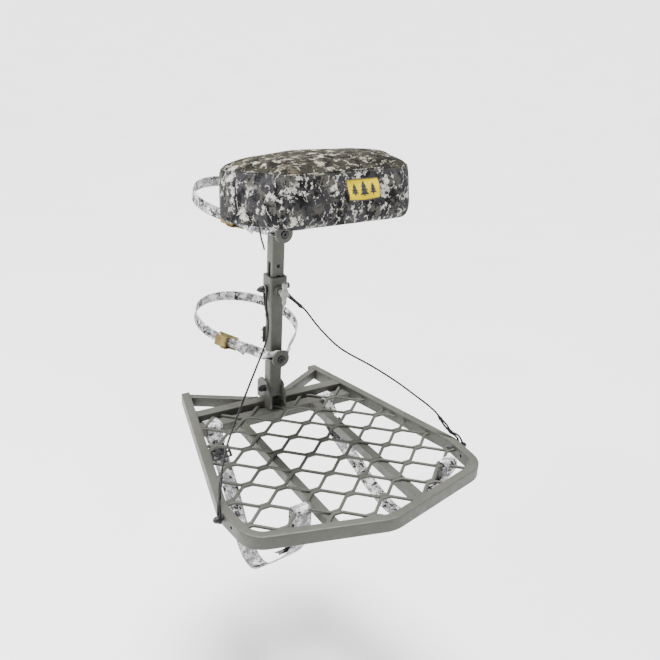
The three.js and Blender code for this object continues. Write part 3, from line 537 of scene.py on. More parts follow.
for node in (
    "post", "tree_bracket", "platform_rim", "rear_crossbar", "deck_crossbar", "deck_bar_left", "deck_bar_right",
    "v_bar_left", "v_bar_right", "hinge_ear_left", "hinge_ear_right", "collar", "seat_bracket_left",
    "seat_bracket_right", "seat_arm_left", "seat_arm_right",
):
    finish_cad(node, PAINT)
for node in (
    "lower_spool_bolt", "upper_spool_bolt", "seat_stop_pin", "seat_pivot_bolt", "seat_pivot_nut",
    "platform_pivot_bolt", "platform_pivot_nut", "cable_bolt_left", "cable_bolt_right", "cable_nut_left",
    "cable_nut_right", "anchor_bolt", "anchor_cap_nut", "cable_eye_lower_left", "cable_eye_lower_right",
    "cable_eye_upper_left", "cable_eye_upper_right",
):
    finish_cad(node, BLACK_STEEL, 0.0005)
for node in ("anchor_washer_left", "anchor_washer_right", "wing_knob"):
    finish_cad(node, ZINC, 0.0004)
for buckle_part in ("body", "pin", "cam"):
    for strap_name in ("lower", "upper"):
        finish_cad(f"{strap_name}_buckle_{buckle_part}", YELLOW_ZINC, 0.0003)
for node in ("seat_pan", "carry_buckle_rear_left", "carry_buckle_front_left", "carry_buckle_rear_right",
             "carry_buckle_front_right"):
    finish_cad(node, PLASTIC, 0.0005)

# ------------------------------------------------------------------ expanded-metal deck

BOND_X, BOND_Y = 56.5, 39.85
BOND_START = (-141.25, -353)
STRAND_W, STRAND_T = 7.0, 5.6
BOND_HALF = 10.5
MESH_MID_Z = (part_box("deck_mesh")[0].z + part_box("deck_mesh")[1].z) / 2


RIM_TREE = surface_tree(NODES["platform_rim"].data)
RIM_MID_Z = -0.022                      # below the bolt holes
DECK_REAR_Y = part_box("rear_crossbar")[0].y - 0.0002


def in_deck(x, y):
    """Whether a point of the deck's plane is inside the rim."""
    if y > DECK_REAR_Y:
        return False
    p = Vector((x, y, RIM_MID_Z))
    crossings = 0
    for _ in range(8):
        hit = RIM_TREE.ray_cast(p, Vector((1, 0, 0)))
        if hit[0] is None:
            break
        crossings += 1
        p = hit[0] + Vector((1e-5, 0, 0))
    if crossings != 2:
        return False
    return RIM_TREE.ray_cast(Vector((x, y, RIM_MID_Z)), Vector((0, -1, 0)))[0] is not None


def strand(row):
    """The centreline of one zigzag strand, between two rows of bonds."""
    low = BOND_START[1] - row * BOND_Y - STRAND_W / 2
    high = BOND_START[1] - (row + 1) * BOND_Y + STRAND_W / 2
    pts = []
    for i in range(-4, 11):
        x = BOND_START[0] + i * BOND_X
        y = low if (i + row) % 2 == 0 else high
        pts += [(x - BOND_HALF, y), (x + BOND_HALF, y)]
    out = []
    for k, (x, y) in enumerate(pts):
        px, py = pts[max(k - 1, 0)]
        nx, ny = pts[min(k + 1, len(pts) - 1)]
        for a, b in ((0.24, 0), (0.11, 0), (0, 0), (0, 0.11), (0, 0.24)):
            sx = x + (px - x) * a + (nx - x) * b
            sy = y + (py - y) * a + (ny - y) * b
            out.append((sx, sy))
    soft = [out[0]]
    for a, b, c in zip(out, out[1:], out[2:]):
        soft.append(((a[0] + 2 * b[0] + c[0]) / 4, (a[1] + 2 * b[1] + c[1]) / 4))
    return resample([mm(x, y, 0) + Vector((0, 0, MESH_MID_Z)) for x, y in soft], 0.0034, smooth=False)


def deck_mesh():
    parts, ends = [], []
    for row in range(-6, 8):
        run = []
        for p in [*strand(row), None]:
            if p is not None and in_deck(p.x, p.y):
                run.append(p)
                continue
            if len(run) > 4:
                first = run[0] + (run[0] - run[1]).normalized() * 0.0035
                last = run[-1] + (run[-1] - run[-2]).normalized() * 0.0035
                run = [first, *run, last]
                ends += [first, last]
                sections, across = [], []
                for t in tangents(run):
                    tilt = math.atan2(t.y, max(abs(t.x), 1e-6)) * (1 if t.x > 0 else -1)
                    lean = 0.35 * math.sin(tilt)
                    c, s = math.cos(lean), math.sin(lean)
                    sections.append([((a * c - b * s) * MM, (a * s + b * c) * MM)
                                     for a, b in rounded_box(STRAND_W, STRAND_T, 1.3, 2)])
                    across.append(Vector((-t.y, t.x, 0)))
                parts.append(swept(run, sections, across))
            run = []
    obj = new_object("expanded_metal", *joined(parts), PAINT, "platform", "frame_paint")
    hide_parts("deck_mesh")
    nubs = []
    for p in ends:
        knob = [(0.0, -3.2), (2.4, -2.5), (3.8, -0.8), (3.8, 0.8), (2.4, 2.2), (0.0, 2.8)]
        nubs.append(placed(lathe([(r * MM, z * MM) for r, z in knob], 12), Matrix.Translation(p)))
    new_object("deck_tack_welds", *joined(nubs), PAINT, "platform", "frame_paint")


deck_mesh()

# ------------------------------------------------------------------ strap spools


def spool(name):
    low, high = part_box(name)
    centre = (low + high) / 2
    length = (high.y - low.y) / MM
    profile = [
        (5.3, 0), (8.6, 0), (9, 0.4), (9, length - 7.4), (9.6, length - 7), (18.6, length - 7), (20.2, length - 6.4),
        (21, length - 5.2), (21, length - 2.2), (20.4, length - 0.9), (19, length - 0.15), (17.2, length),
        (16.6, length - 0.35), (15.9, length), (10.1, length), (9.3, length - 0.4), (8.7, length - 2.5),
        (5.3, length - 2.5), (5.3, 0),
    ]
    turn = axes(Vector((1, 0, 0)), Vector((0, 0, 1)), Vector((0, -1, 0)), Vector((centre.x, high.y, centre.z)))
    part = placed(lathe([(r * MM, z * MM) for r, z in profile], 64), turn)
    obj = new_object(name + "_turned", *part, PAINT, "post", "frame_paint")
    obj.data.set_sharp_from_angle(angle=math.radians(40))
    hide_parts(name)


spool("lower_strap_spool")
spool("upper_strap_spool")

# ------------------------------------------------------------------ weld runs

welds = {"post": [], "platform": [], "collar": [], "seat": []}


def weld(body, points, r=2.0):
    welds[body].append(weld_bead([mm(*p) for p in points], r * MM))


def rail_x(y, inset=20.3):
    return 183 - 0.23009 * y - inset * 1.0261


for s in (-1, 1):
    for y0, y1, z0, z1 in ((-93, -118, -25, 0), (-122, -150, -38, -15)):
        weld("platform", [(s * rail_x(y0), y0, z1), (s * rail_x(y1), y1, z1)], 1.8)
        weld("platform", [(s * rail_x(y0), y0, z0), (s * rail_x(y1), y1, z0)], 1.8)
        weld("platform", [(s * rail_x(y1), y1, z1), (s * rail_x(y1), y1, max(z0, -27))], 1.8)
        weld("platform", [(s * rail_x(y0), y0, z1), (s * rail_x(y0), y0, max(z0, -27))], 1.8)
    for z in (0, -25):
        weld("platform", [(s * 26, -92.7, z), (s * 57.5, -92.7, z)], 1.8)
        weld("platform", [(s * rail_x(-15.5), -15.5, z), (s * rail_x(-34), -34, z)], 1.8)
    x0, x1 = s * 15.6, s * 20.6
    for x in (x0, x1):
        weld("platform", [(x, -79, 0.3), (x, -116, 0.3)], 1.6)
        weld("platform", [(x, -118.2, -1), (x, -118.2, -9)], 1.6)
    for x in (s * 89.5, s * 109.5):
        weld("platform", [(x, -150.3, -15.6), (x, -150.3, -37)], 1.6)
    weld("post", [(s * 15.2, -104, 444), (s * 15.2, -104, 455)], 1.5)
    weld("post", [(s * 15.2, -104, 443.6), (s * 15.2, -124, 442.2), (s * 15.2, -131, 439)], 1.6)
    weld("post", [(s * 20, -101.6, 146), (s * 20, -101.6, 184)], 1.2)
    weld("seat", [(s * 26, -190, 484.2), (s * 26, -240, 488.6)], 1.4)
    weld("seat", [(s * 26, -290, 493), (s * 26, -340, 497.4)], 1.4)
ring = [(11.6 * math.cos(t), -138.3, 284 + 11.6 * math.sin(t)) for t in np.linspace(0, 2 * math.pi, 60)]
weld("collar", ring, 1.5)
for body, parts in welds.items():
    new_object(f"{body}_welds", *joined(parts), PAINT, body, "frame_paint")

# ------------------------------------------------------------------ webbing


def webbing(name, path, across, width, thickness, material, body, slot, spacing=0.0025, offset=0.0):
    """A flat woven band: across gives its width direction at each control point."""
    control = [Vector(p) for p in path]
    sides = [Vector(a).normalized() for a in across]
    line = resample(control, spacing)
    marks = [0.0]
    for a, b in zip(line, line[1:]):
        marks.append(marks[-1] + (b - a).length)
    nearest = [min(range(len(line)), key=lambda i: (line[i] - c).length) for c in control]
    nearest[0], nearest[-1] = 0, len(line) - 1
    for k in range(1, len(nearest)):
        nearest[k] = max(nearest[k], nearest[k - 1] + 1) if k < len(nearest) - 1 else nearest[k]
    widths = width if isinstance(width, (list, tuple)) else [width] * len(control)
    across_at, width_at = [], []
    seg = 0
    for i in range(len(line)):
        while seg < len(nearest) - 2 and i > nearest[seg + 1]:
            seg += 1
        span = max(nearest[seg + 1] - nearest[seg], 1)
        t = min(max((i - nearest[seg]) / span, 0), 1)
        t = t * t * (3 - 2 * t)
        across_at.append(sides[seg].lerp(sides[seg + 1], t).normalized())
        width_at.append(widths[seg] * (1 - t) + widths[seg + 1] * t)
    columns = 9
    verts, weave = [], []
    for i, (p, t) in enumerate(zip(line, tangents(line))):
        side = (across_at[i] - t * across_at[i].dot(t)).normalized()
        up = t.cross(side)
        half = width_at[i] / 2
        profile = []
        for c in range(columns):
            u = -1 + 2 * c / (columns - 1)
            swell = 1.0 - 0.12 * math.cos(u * math.pi) - 0.55 * max(0.0, abs(u) - 0.82) / 0.18
            profile.append((u * half, thickness / 2 * swell, u))
        ring_pts = profile + [(a, -b, u) for a, b, u in reversed(profile)]
        for a, b, u in ring_pts:
            verts.append(p + side * a + up * (b + offset))
            weave.append((marks[i], a, u))
    size = 2 * columns
    faces = []
    for i in range(len(line) - 1):
        for j in range(size):
            k = (j + 1) % size
            faces.append((i * size + j, i * size + k, (i + 1) * size + k, (i + 1) * size + j))
    faces.append(tuple(range(size))[::-1])
    faces.append(tuple(range((len(line) - 1) * size, len(line) * size)))
    obj = new_object(name, verts, faces, material, body, slot)
    layer = obj.data.attributes.new("weave", "FLOAT_VECTOR", "POINT")
    layer.data.foreach_set("vector", [c for w in weave for c in w])
    return obj


def stitches(name, rows, material, body, slot, length=0.0026, pitch=0.0038, r=0.00032):
    """Rows of short raised stitches along point lists."""
    parts = []
    for row in rows:
        line = resample(row, pitch)
        for a, b in zip(line, line[1:]):
            d = (b - a).normalized() * (length / 2)
            m = (a + b) / 2
            path = [m - d, m - d * 0.5, m + d * 0.5, m + d]
            parts.append(swept(path, [circle(r * q, 5) for q in (0.3, 1, 1, 0.3)], carried(path)))
    return new_object(name, *joined(parts), material, body, slot)


# ------------------------------------------------------------------ tree straps

STRAP_X = Vector((0.9934, 0.0168, -0.1137))
STRAP_Y = Vector((0.0, 0.9893, 0.1461))
STRAP_Z = Vector((0.1149, -0.1451, 0.9827))
TRUNK = (0.0, 172.0)                    # trunk centre in the strap's plane, from the spool
STRAP_R = 125.1
WEB_W, WEB_T = 25.4, 2.0


def run_from(start, side):
    """Heading and length of the straight run from a point to the trunk."""
    dx, dy = TRUNK[0] - start[0], TRUNK[1] - start[1]
    reach = math.hypot(dx, dy)
    heading = math.atan2(dy, dx) - side * math.asin(STRAP_R / reach)
    return (math.cos(heading), math.sin(heading)), math.sqrt(reach ** 2 - STRAP_R ** 2)


def tree_strap(name, z0, buckle):
    """One strap; buckle is its buckle's distance along the straight run from the spool."""
    origin = Vector((0, -142, z0))

    def flat(p, out=0.0, up=0.0):
        """A point of the strap's plane in millimetres, as a world point in metres."""
        n = outward if out else Vector((0, 0, 0))
        return (origin + STRAP_X * p[0] + STRAP_Y * p[1] + n * out + STRAP_Z * up) * MM

    left, (ul, reach_l) = (-16.0, -2.0), run_from((-16.0, -2.0), -1)
    right, (ur, reach_r) = (16.0, 2.0), run_from((16.0, 2.0), 1)
    outward = (STRAP_X * ul[0] + STRAP_Y * ul[1]).cross(STRAP_Z) * -1
    if outward.y > 0:
        outward = -outward

    def on_left(s, out=0.0, up=0.0):
        return flat((left[0] + ul[0] * s, left[1] + ul[1] * s), out, up)

    side_y = Vector((0, 1, 0))

    def eye(r, far, sign):
        """Points round the barrel, from its top over the far side to its bottom."""
        pts = []
        for deg in (105, 80, 50, 20, -10, -40, -70, -95, -115):
            t = math.radians(deg)
            pts.append(mm(sign * r * math.cos(t), far, z0 + r * math.sin(t)))
        return pts

    # short strap: out of the buckle, twisted a quarter turn, round the barrel and sewn back on itself
    short = [on_left(34 + (buckle - 53) * f) for f in (1, 0.72, 0.46, 0.23, 0)] + [mm(-20, -138, z0 + 8.5)]
    loop = eye(10.3, -141, 1)
    back = [mm(-20, -137, z0 - 1.5), on_left(32, -2.3), on_left(46, -2.2), on_left(62, -2.2)]
    across = [STRAP_Z] * 4 + [STRAP_Z.lerp(side_y, 0.25), side_y.lerp(STRAP_Z, 0.25)] + [side_y] * len(loop)
    across += [side_y.lerp(STRAP_Z, 0.3), STRAP_Z.lerp(side_y, 0.15), STRAP_Z, STRAP_Z]
    widths = [WEB_W] * 4 + [24, 18.5] + [16.5] * len(loop) + [18.5, 24, WEB_W, WEB_W]
    piece = webbing(f"{name}_short_webbing", short + loop + back, across, [w * MM for w in widths], WEB_T * MM,
                    WEBBING, "post", "webbing")
    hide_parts(f"{name}_strap_short")

    # long strap: tail through the buckle, round the trunk, back to the barrel from the right
    tail = [on_left(buckle - ahead, out, up) for ahead, out, up in
            ((50, 7.0, -6.0), (42, 5.2, -3.4), (32, 3.4, -1.4), (22, 2.5, 0), (12, 1.6, 0), (1, 0.1, 0))]
    tail.append(on_left(reach_l - 2))
    start = math.atan2(left[1] + ul[1] * reach_l - TRUNK[1], left[0] + ul[0] * reach_l)
    end = math.atan2(right[1] + ur[1] * reach_r - TRUNK[1], right[0] + ur[0] * reach_r)
    sweep = -((start - end + 4 * math.pi) % (2 * math.pi))
    arc = []
    for k in range(1, 40):
        t = start + sweep * k / 40
        arc.append(flat((STRAP_R * math.cos(t), TRUNK[1] + STRAP_R * math.sin(t))))
    run = [flat((right[0] + ur[0] * s, right[1] + ur[1] * s)) for s in (reach_r, 70, 48, 34)]
    turn = [mm(20, -138, z0 + 9.5)]
    loop = eye(12.7, -141, -1)
    back = [mm(20, -137, z0 - 3.5), flat((right[0] + ur[0] * 34 + 1.6, right[1] + ur[1] * 34 + 1.6)),
            flat((right[0] + ur[0] * 48 + 1.7, right[1] + ur[1] * 48 + 1.6)),
            flat((right[0] + ur[0] * 64 + 1.7, right[1] + ur[1] * 64 + 1.6))]
    across = [STRAP_Z] * (len(tail) + len(arc) + 3) + [STRAP_Z.lerp(-side_y, 0.25), (-side_y).lerp(STRAP_Z, 0.25)]
    across += [-side_y] * len(loop) + [(-side_y).lerp(STRAP_Z, 0.3), STRAP_Z.lerp(-side_y, 0.15), STRAP_Z, STRAP_Z]
    widths = [WEB_W] * (len(tail) + len(arc) + 3) + [24, 18.5] + [16.5] * len(loop) + [18.5, 24, WEB_W, WEB_W]
    piece = webbing(f"{name}_long_webbing", tail + arc + run + turn + loop + back, across,
                    [w * MM for w in widths], WEB_T * MM, WEBBING, "post", "webbing")
    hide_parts(f"{name}_strap_long")

    rows = [[on_left(s, 1.15, up) for s in range(40, 61, 4)] for up in (-9, 9)]
    rows += [[on_left(40, 1.15, u) for u in range(-9, 10, 3)], [on_left(60, 1.15, u) for u in range(-9, 10, 3)]]
    rows += [[on_left(40 + 20 * k / 5, 1.15, -9 + 18 * k / 5) for k in range(6)]]
    stitches(f"{name}_strap_stitches", rows, DARK_THREAD, "post", "webbing")


tree_strap("lower", 122, 114)
tree_strap("upper", 419, 96)

# ------------------------------------------------------------------ support cables

CABLE_R = 2.15
CABLE_ROUTES = {
    "left": [
        (-23.8, -117, 275.2), (-25, -121, 262), (-28, -130, 248), (-31, -143, 231), (-36, -158, 213),
        (-46, -174, 196), (-64, -193, 177), (-92, -221, 158), (-136, -270, 138), (-180, -321, 120),
        (-218, -364, 101), (-250, -402, 80), (-270, -432, 54), (-282, -452, 29), (-289.5, -464, 9),
        (-291.5, -469.5, -4.4),
    ],
    "right": [
        (24.2, -117, 274.6), (30, -123, 265), (42, -135, 252), (59, -155, 233), (82, -185, 195),
        (114, -227, 157), (159, -286, 131), (196, -335, 106), (229, -380, 78), (248, -397, 61),
        (261, -411, 46), (270, -427, 30), (278.5, -444, 14), (286.5, -460, 6), (291.5, -469, -3),
    ],
}


def cable(name, side):
    line = resample([mm(*p) for p in CABLE_ROUTES[name]], 0.001)
    n = len(line)
    ts = tangents(line)
    out_x = Vector((1, 0, 0))

    def at(i, off=0.0):
        i = min(max(i, 0), n - 1)
        e = out_x.cross(ts[i]).normalized()
        return line[i] + e * (off * MM)

    crimp_top, crimp_low, crimp_end = 50, n - 70, n - 34
    top = mm(side * 23.7, -117, 284)
    low = mm(side * 291.4, -470, -13)
    up = [at(crimp_top + 9, 3.4), at(crimp_top, 3.5), at(32, 4.6), at(14, 6.0)]
    up += [top + mm(0, y, z) for y, z in ((7.2, -1), (5.6, 4.8), (0, 7.4), (-5.6, 4.8), (-7.2, -1))]
    up += [at(14, -3.2), at(32, -1.2), at(crimp_top, 0), at(crimp_top + 16, 0)]
    middle = [at(i) for i in range(crimp_top + 30, crimp_low - 12, 14)]
    down = [at(crimp_low, 0), at(crimp_low + 18, -2.6), at(crimp_end, 0), at(n - 14, -4.4)]
    e = out_x.cross(ts[-1]).normalized()
    for deg in (-70, -30, 0, 30, 70):
        t = math.radians(deg)
        down.append(low + (ts[-1] * math.cos(t) + e * math.sin(t)) * (7.3 * MM))
    down += [at(n - 14, 4.6), at(crimp_end, 3.7), at(crimp_low + 18, 6.4), at(crimp_low, 3.7)]
    down.append(at(crimp_low - 8, 3.4))
    whole = resample(up + middle + down, 0.0016)
    half = min(range(len(whole)), key=lambda i: (whole[i] - line[n // 2]).length)

    def sleeve(i0, i1):
        """An oval crimp over both strands."""
        path = [at(i, 2.2) for i in range(i0, i1 + 1, 2)]
        sections = []
        for k in range(len(path)):
            pinch = 0.93 if len(path) // 2 - 1 <= k <= len(path) // 2 else 1
            grow = min(1.0, 0.72 + 0.28 * min(k, len(path) - 1 - k) / 2) * pinch
            sections.append([(a * grow * MM, b * grow * MM) for a, b in rounded_box(10.6, 6.6, 3.2, 4)])
        return swept(path, sections, [out_x.cross(t) for t in tangents(path)])

    upper = joined([tube(whole[:half + 1], CABLE_R * MM, 14), sleeve(crimp_top - 6, crimp_top + 6)])
    lower = joined([tube(whole[half:], CABLE_R * MM, 14), sleeve(crimp_low - 5, crimp_low + 5),
                    sleeve(crimp_end - 5, crimp_end + 5)])
    a = new_object(f"{name}_cable_upper", *upper, VINYL, None, "black_vinyl")
    b = new_object(f"{name}_cable_lower", *lower, VINYL, None, "black_vinyl")
    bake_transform(a)
    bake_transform(b)
    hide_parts(f"support_cable_{name}")


cable("left", -1)
cable("right", 1)

# ------------------------------------------------------------------ seat

SEAT_FRAME = Matrix.Translation(mm(0, -150, 468)) @ Matrix.Rotation(math.radians(-7), 4, "X")
SEAT_PLAN = [(33, 3), (205, -108), (137, -274), (-137, -274), (-205, -108), (-33, 3)]
SEAT_RADII = [18, 30, 40, 40, 30, 18]
SEAT_LOW, SEAT_HIGH = 17.3, 125.3
HEM_LOW = 11.9                          # the cover's hem wraps under the pan's edge


def rounded_plan(points, radii, inset=0.0, steps=10):
    """The seat's outline with round corners, moved inwards, as (x, y) in millimetres."""
    n = len(points)
    out = []
    for i, p in enumerate(points):
        p = Vector(p)
        a, b = Vector(points[i - 1]), Vector(points[(i + 1) % n])
        u, v = (a - p).normalized(), (b - p).normalized()
        half = math.acos(max(-1, min(1, u.dot(v)))) / 2
        r = radii[i]
        centre = p + (u + v).normalized() * r / math.sin(half)
        q0, q1 = p + u * r / math.tan(half) - centre, p + v * r / math.tan(half) - centre
        t0 = math.atan2(q0.y, q0.x)
        turn = (math.atan2(q1.y, q1.x) - t0 + math.pi) % (2 * math.pi) - math.pi
        for k in range(steps + 1):
            t = t0 + turn * k / steps
            out.append(centre + Vector((math.cos(t), math.sin(t))) * max(r - inset, 1.0))
    return out


def cushion_form():
    """The foam before its cover is drawn tight: slightly smaller than its space."""
    rings = [(60, SEAT_LOW + 0.4), (35, SEAT_LOW + 0.4), (34, HEM_LOW), (26, HEM_LOW)]
    top_r, low_in, low_up, side = 19.0, 14.0, 28.0, 3.0
    for k in range(7):
        t = math.pi / 2 * k / 6
        rings.append((side + low_in * (1 - math.sin(t)), HEM_LOW + low_up * (1 - math.cos(t))))
    for k in range(9):
        t = math.pi / 2 * k / 8
        rings.append((side + top_r * (1 - math.cos(t)), SEAT_HIGH - 4.5 - top_r * (1 - math.sin(t))))
    rings += [(side + top_r + inward, SEAT_HIGH + rise) for inward, rise in ((25, -0.8), (60, 1.6), (95, 2.6))]
    verts = []
    for inset, z in rings:
        plan = rounded_plan(SEAT_PLAN, SEAT_RADII, min(inset, 16))
        shrink = max(0.0, inset - 16)
        for p in plan:
            q = p - (p - Vector((0, -150))).normalized() * shrink
            verts.append(mm(q.x, q.y, z))
    return verts, ring_walls(len(rings), len(verts) // len(rings))


def evaluated(obj):
    """A copy of the object's mesh with its modifiers applied."""
    bpy.context.view_layer.update()
    return bpy.data.meshes.new_from_object(obj.evaluated_get(bpy.context.evaluated_depsgraph_get()))


def inflate(obj, cap):
    """Draws the cover over its filling: a short cloth simulation, with each point's travel capped."""
    rest = np.array([v.co for v in obj.data.vertices])
    pinned = obj.vertex_groups.new(name="base")
    low = rest[:, 2].min()
    pinned.add([i for i, p in enumerate(rest) if p[2] < low + 0.004], 1.0, "REPLACE")
    cloth = obj.modifiers.new("cover", "CLOTH")
    settings = cloth.settings
    settings.quality = 5
    settings.mass = 0.3
    settings.tension_stiffness = 25
    settings.compression_stiffness = 25
    settings.bending_stiffness = 2.0
    settings.use_pressure = True
    settings.uniform_pressure_force = 4
    settings.vertex_group_mass = "base"
    settings.effector_weights.gravity = 0
    cloth.collision_settings.use_self_collision = False
    for f in range(1, 21):
        bpy.context.scene.frame_set(f)
    moved = evaluated(obj)
    now = np.array([v.co for v in moved.vertices])
    obj.modifiers.remove(cloth)
    bpy.context.scene.frame_set(1)
    bpy.data.meshes.remove(moved)
    shift = now - rest
    size = np.linalg.norm(shift, axis=1, keepdims=True)
    capped = cap * np.tanh(size / cap)
    final = rest + shift * np.where(size > 1e-9, capped / np.maximum(size, 1e-9), 0)
    obj.data.vertices.foreach_set("co", final.astype(np.float32).ravel())
    obj.data.update()
    obj.vertex_groups.clear()


def wave(p, scale, seed=0.0):
    """A smooth wandering value between about -1 and 1."""
    x, y, z = (c * scale for c in p)
    return (math.sin(x * 1.3 + seed + 1.7 * math.sin(y * 0.9 + seed))
            + math.sin(y * 1.7 - seed + 1.3 * math.sin(z * 1.1))
            + math.sin(z * 1.5 + seed * 2 + 1.1 * math.sin(x * 0.8))) / 3


def crease_cushion(obj):
    """Small folds of the cover: gathers along the lower edge, gentle waves all over, a soft crown."""
    data = obj.data
    data.update()
    normals = [v.normal.copy() for v in data.vertices]
    for v, n in zip(data.vertices, normals):
        p = v.co / MM
        height = (p.z - SEAT_LOW) / (SEAT_HIGH - SEAT_LOW)
        angle = math.atan2(p.y + 140, p.x)
        gather = max(0.0, 1 - height / 0.42) ** 1.5 * min(1.0, height / 0.06)
        side = max(0.0, 1 - abs(n.z) * 1.2)
        folds = math.sin(angle * 46 + 2.5 * math.sin(angle * 7)) * (0.6 + 0.4 * math.sin(angle * 11 + 1))
        d = 0.85 * gather * folds * side
        d += 0.55 * wave(p, 0.05, 2.0) + 0.3 * wave(p, 0.13, 5.0)
        if height > 0.9:
            d += 0.9 * wave(p, 0.022, 1.0)
        v.co += n * (d * MM)
    data.update()


def seat_cushion():
    base = new_object("cushion_form", *cushion_form(), CAMO, None, "camo_cloth")
    remesh = base.modifiers.new("remesh", "REMESH")
    remesh.mode = "VOXEL"
    remesh.voxel_size = 0.004
    soften = base.modifiers.new("soften", "SMOOTH")
    soften.iterations = 6
    soften.factor = 0.5
    mesh = evaluated(base)
    bpy.data.objects.remove(base)
    mesh.name = "seat_cover"
    obj = bpy.data.objects.new("seat_cover", mesh)
    bpy.context.scene.collection.objects.link(obj)
    inflate(obj, 0.0065)
    crease_cushion(obj)
    obj.data.transform(SEAT_FRAME)
    obj.data.materials.clear()
    obj.data.materials.append(CAMO)
    obj.data.shade_smooth()
    obj.modifiers.new("subdivision", "SUBSURF").render_levels = 1
    obj.modifiers["subdivision"].levels = 1
    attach(obj, "seat")
    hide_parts("seat_cushion")
    return obj


COVER = seat_cushion()
COVER_TREE = surface_tree(COVER.data)


def on_cover(p, direction, lift):
    """The seat-frame point carried along a seat-frame direction on to the cover, in the row frame."""
    q = SEAT_FRAME @ mm(*p)
    d = (SEAT_FRAME.to_3x3() @ Vector(direction)).normalized()
    hit, normal, _, _ = COVER_TREE.ray_cast(q, d)
    if hit is None:
        return None, None
    return hit + normal * (lift * MM), normal


def patch_material():
    """Yellow twill, its tone wandering at random, with painted shade darkening the twill's grooves."""
    n = Nodes("yellow_patch")
    twill = n.math("SINE", n.math("MULTIPLY", n.math("ADD", n.part(n.coords, 0), n.part(n.coords, 2)), 5200))
    base = n.mix(n.step(n.noise(90, 5, 0.7), 0.35, 0.7), (0.6, 0.45, 0.0), (0.76, 0.58, 0.0))
    # painted shade: darker yellow in the twill's low grooves
    base = n.mix(n.step(twill, -1, -0.2, (0.2, 0)), base, (0.5, 0.34, 0.0))
    n.set(Base_Color=base, Roughness=0.85, Normal=n.bump(twill, 0.0002, 0.4))
    n.bsdf.inputs["Specular IOR Level"].default_value = 0.05
    return n.mat


def seat_patch():
    """A plain sewn label with a row of stitches round its edge, three small conifers, and a dark thread ring on its
    rim that is painted shadow.
    """
    cx, cz, half_w, half_h = 24.0, 77.0, 34.0, 18.5
    yellow = patch_material()

    def at(x, z, lift):
        return on_cover((cx + x, -150, cz + z), (0, -1, 0), lift)[0]

    def lower(x):
        return -half_h - 2.2 * (1 - abs(x) / half_w)

    columns, rows = 48, 26
    verts, faces = [], []
    for layer in (0.75, -0.4):
        for i in range(columns + 1):
            x = -half_w + 2 * half_w * i / columns
            for j in range(rows + 1):
                z = lower(x) + (half_h - lower(x)) * j / rows
                verts.append(at(x, z, layer))
    step = rows + 1
    base = (columns + 1) * step
    for i in range(columns):
        for j in range(rows):
            a, b, c, d = i * step + j, (i + 1) * step + j, (i + 1) * step + j + 1, i * step + j + 1
            faces += [(a, b, c, d), (base + d, base + c, base + b, base + a)]
    rim = [i * step for i in range(columns + 1)] + [columns * step + j for j in range(1, rows + 1)]
    rim += [i * step + rows for i in range(columns - 1, -1, -1)] + [j for j in range(rows - 1, 0, -1)]
    for a, b in zip(rim, rim[1:] + rim[:1]):
        faces.append((a, base + a, base + b, b))
    new_object("seat_patch", verts, faces, yellow, "seat", None)

    # the dark ring round the label's rim: painted shadow of the raised label
    def shadow_ring(inset, r):
        w, h = half_w - inset, half_h - inset
        foot = lower(w) + inset
        corners = [(-w, foot), (0, lower(0) + inset), (w, foot), (w, h), (-w, h), (-w, foot)]
        pts = []
        for (x0, z0), (x1, z1) in zip(corners, corners[1:]):
            for k in range(20):
                pts.append(at(x0 + (x1 - x0) * k / 20, z0 + (z1 - z0) * k / 20, 0.75))
        pts.append(pts[0])
        line = resample(pts, 0.0012, smooth=False)
        return tube(line, r * MM, 8)

    # painted shadow: a dark thread ring round the patch's edge
    new_object("patch_shadow_ring", *shadow_ring(0.5, 0.75), DARK_THREAD, "seat", None)
    inner = [at(*p, 0.9) for p in ((-33, -17), (0, -19), (33, -17), (33, 16), (-33, 16), (-33, -17))]
    dense = []
    for a, b in zip(inner, inner[1:]):
        dense += [a.lerp(b, k / 12) for k in range(12)]
    behind = [tuple((SEAT_FRAME.inverted() @ p) / MM + Vector((0, 60, 0))) for p in dense]
    row = [on_cover(p, (0, -1, 0), 0.9)[0] for p in behind]
    stitches("patch_stitches", [row], DARK_THREAD, "seat", None, 0.0022, 0.0032, 0.0003)
    bars = []
    for x0, size, foot in ((-19, 0.8, -10), (0, 1.1, -12.5), (19, 0.8, -10)):
        for tier, (low, high, wide) in enumerate(((0, 9, 8.5), (6, 15, 6.8), (12, 22, 4.8))):
            k = low
            while k < high - 0.4:
                w = wide * size * (high - k) / (high - low)
                z = foot + 3 + k * size
                bars.append([at(x0 + w * (-1 + 2 * q / 6), z, 0.95) for q in range(7)])
                k += 0.75 / size
        for k in range(5):
            bars.append([at(x0 + 1.1 * (-1 + 2 * q / 3), foot + k * 0.7, 0.95) for q in range(4)])
    new_object("patch_trees", *joined([tube(b, 0.42 * MM, 6) for b in bars]), DARK_THREAD, "seat", None)


seat_patch()


SEAM_STEP = 4                           # millimetres between the points that the seams are laid through


def cushion_seams():
    """The welt round the crown and the row of stitches below it."""
    plan = rounded_plan(SEAT_PLAN, SEAT_RADII, 6, 14)
    outline = []
    for a, b in zip(plan, plan[1:] + plan[:1]):
        steps = max(1, int((b - a).length / SEAM_STEP))
        outline += [a.lerp(b, k / steps) for k in range(steps)]
    outline.append(plan[0])
    centre = Vector((0, -140))
    lines = []
    for below, lift in ((0, 0.1), (4.5, 0.25)):
        z = SEAT_HIGH - 14 - below
        ring = []
        for q in outline:
            out = (q - centre).normalized()
            hit = on_cover((centre.x + out.x * 40, centre.y + out.y * 40, z), (out.x, out.y, 0), lift)[0]
            if hit is not None:
                ring.append(hit)
        lines.append(ring)
    welt = resample(lines[0], 0.003, smooth=False)
    new_object("cushion_welt", *tube(welt, 1.3 * MM, 10), CAMO, "seat", "camo_cloth")
    stitches("cushion_stitches", [lines[1]], DARK_THREAD, "seat", None, 0.003, 0.0045, 0.0004)


cushion_seams()

# ------------------------------------------------------------------ draw cord

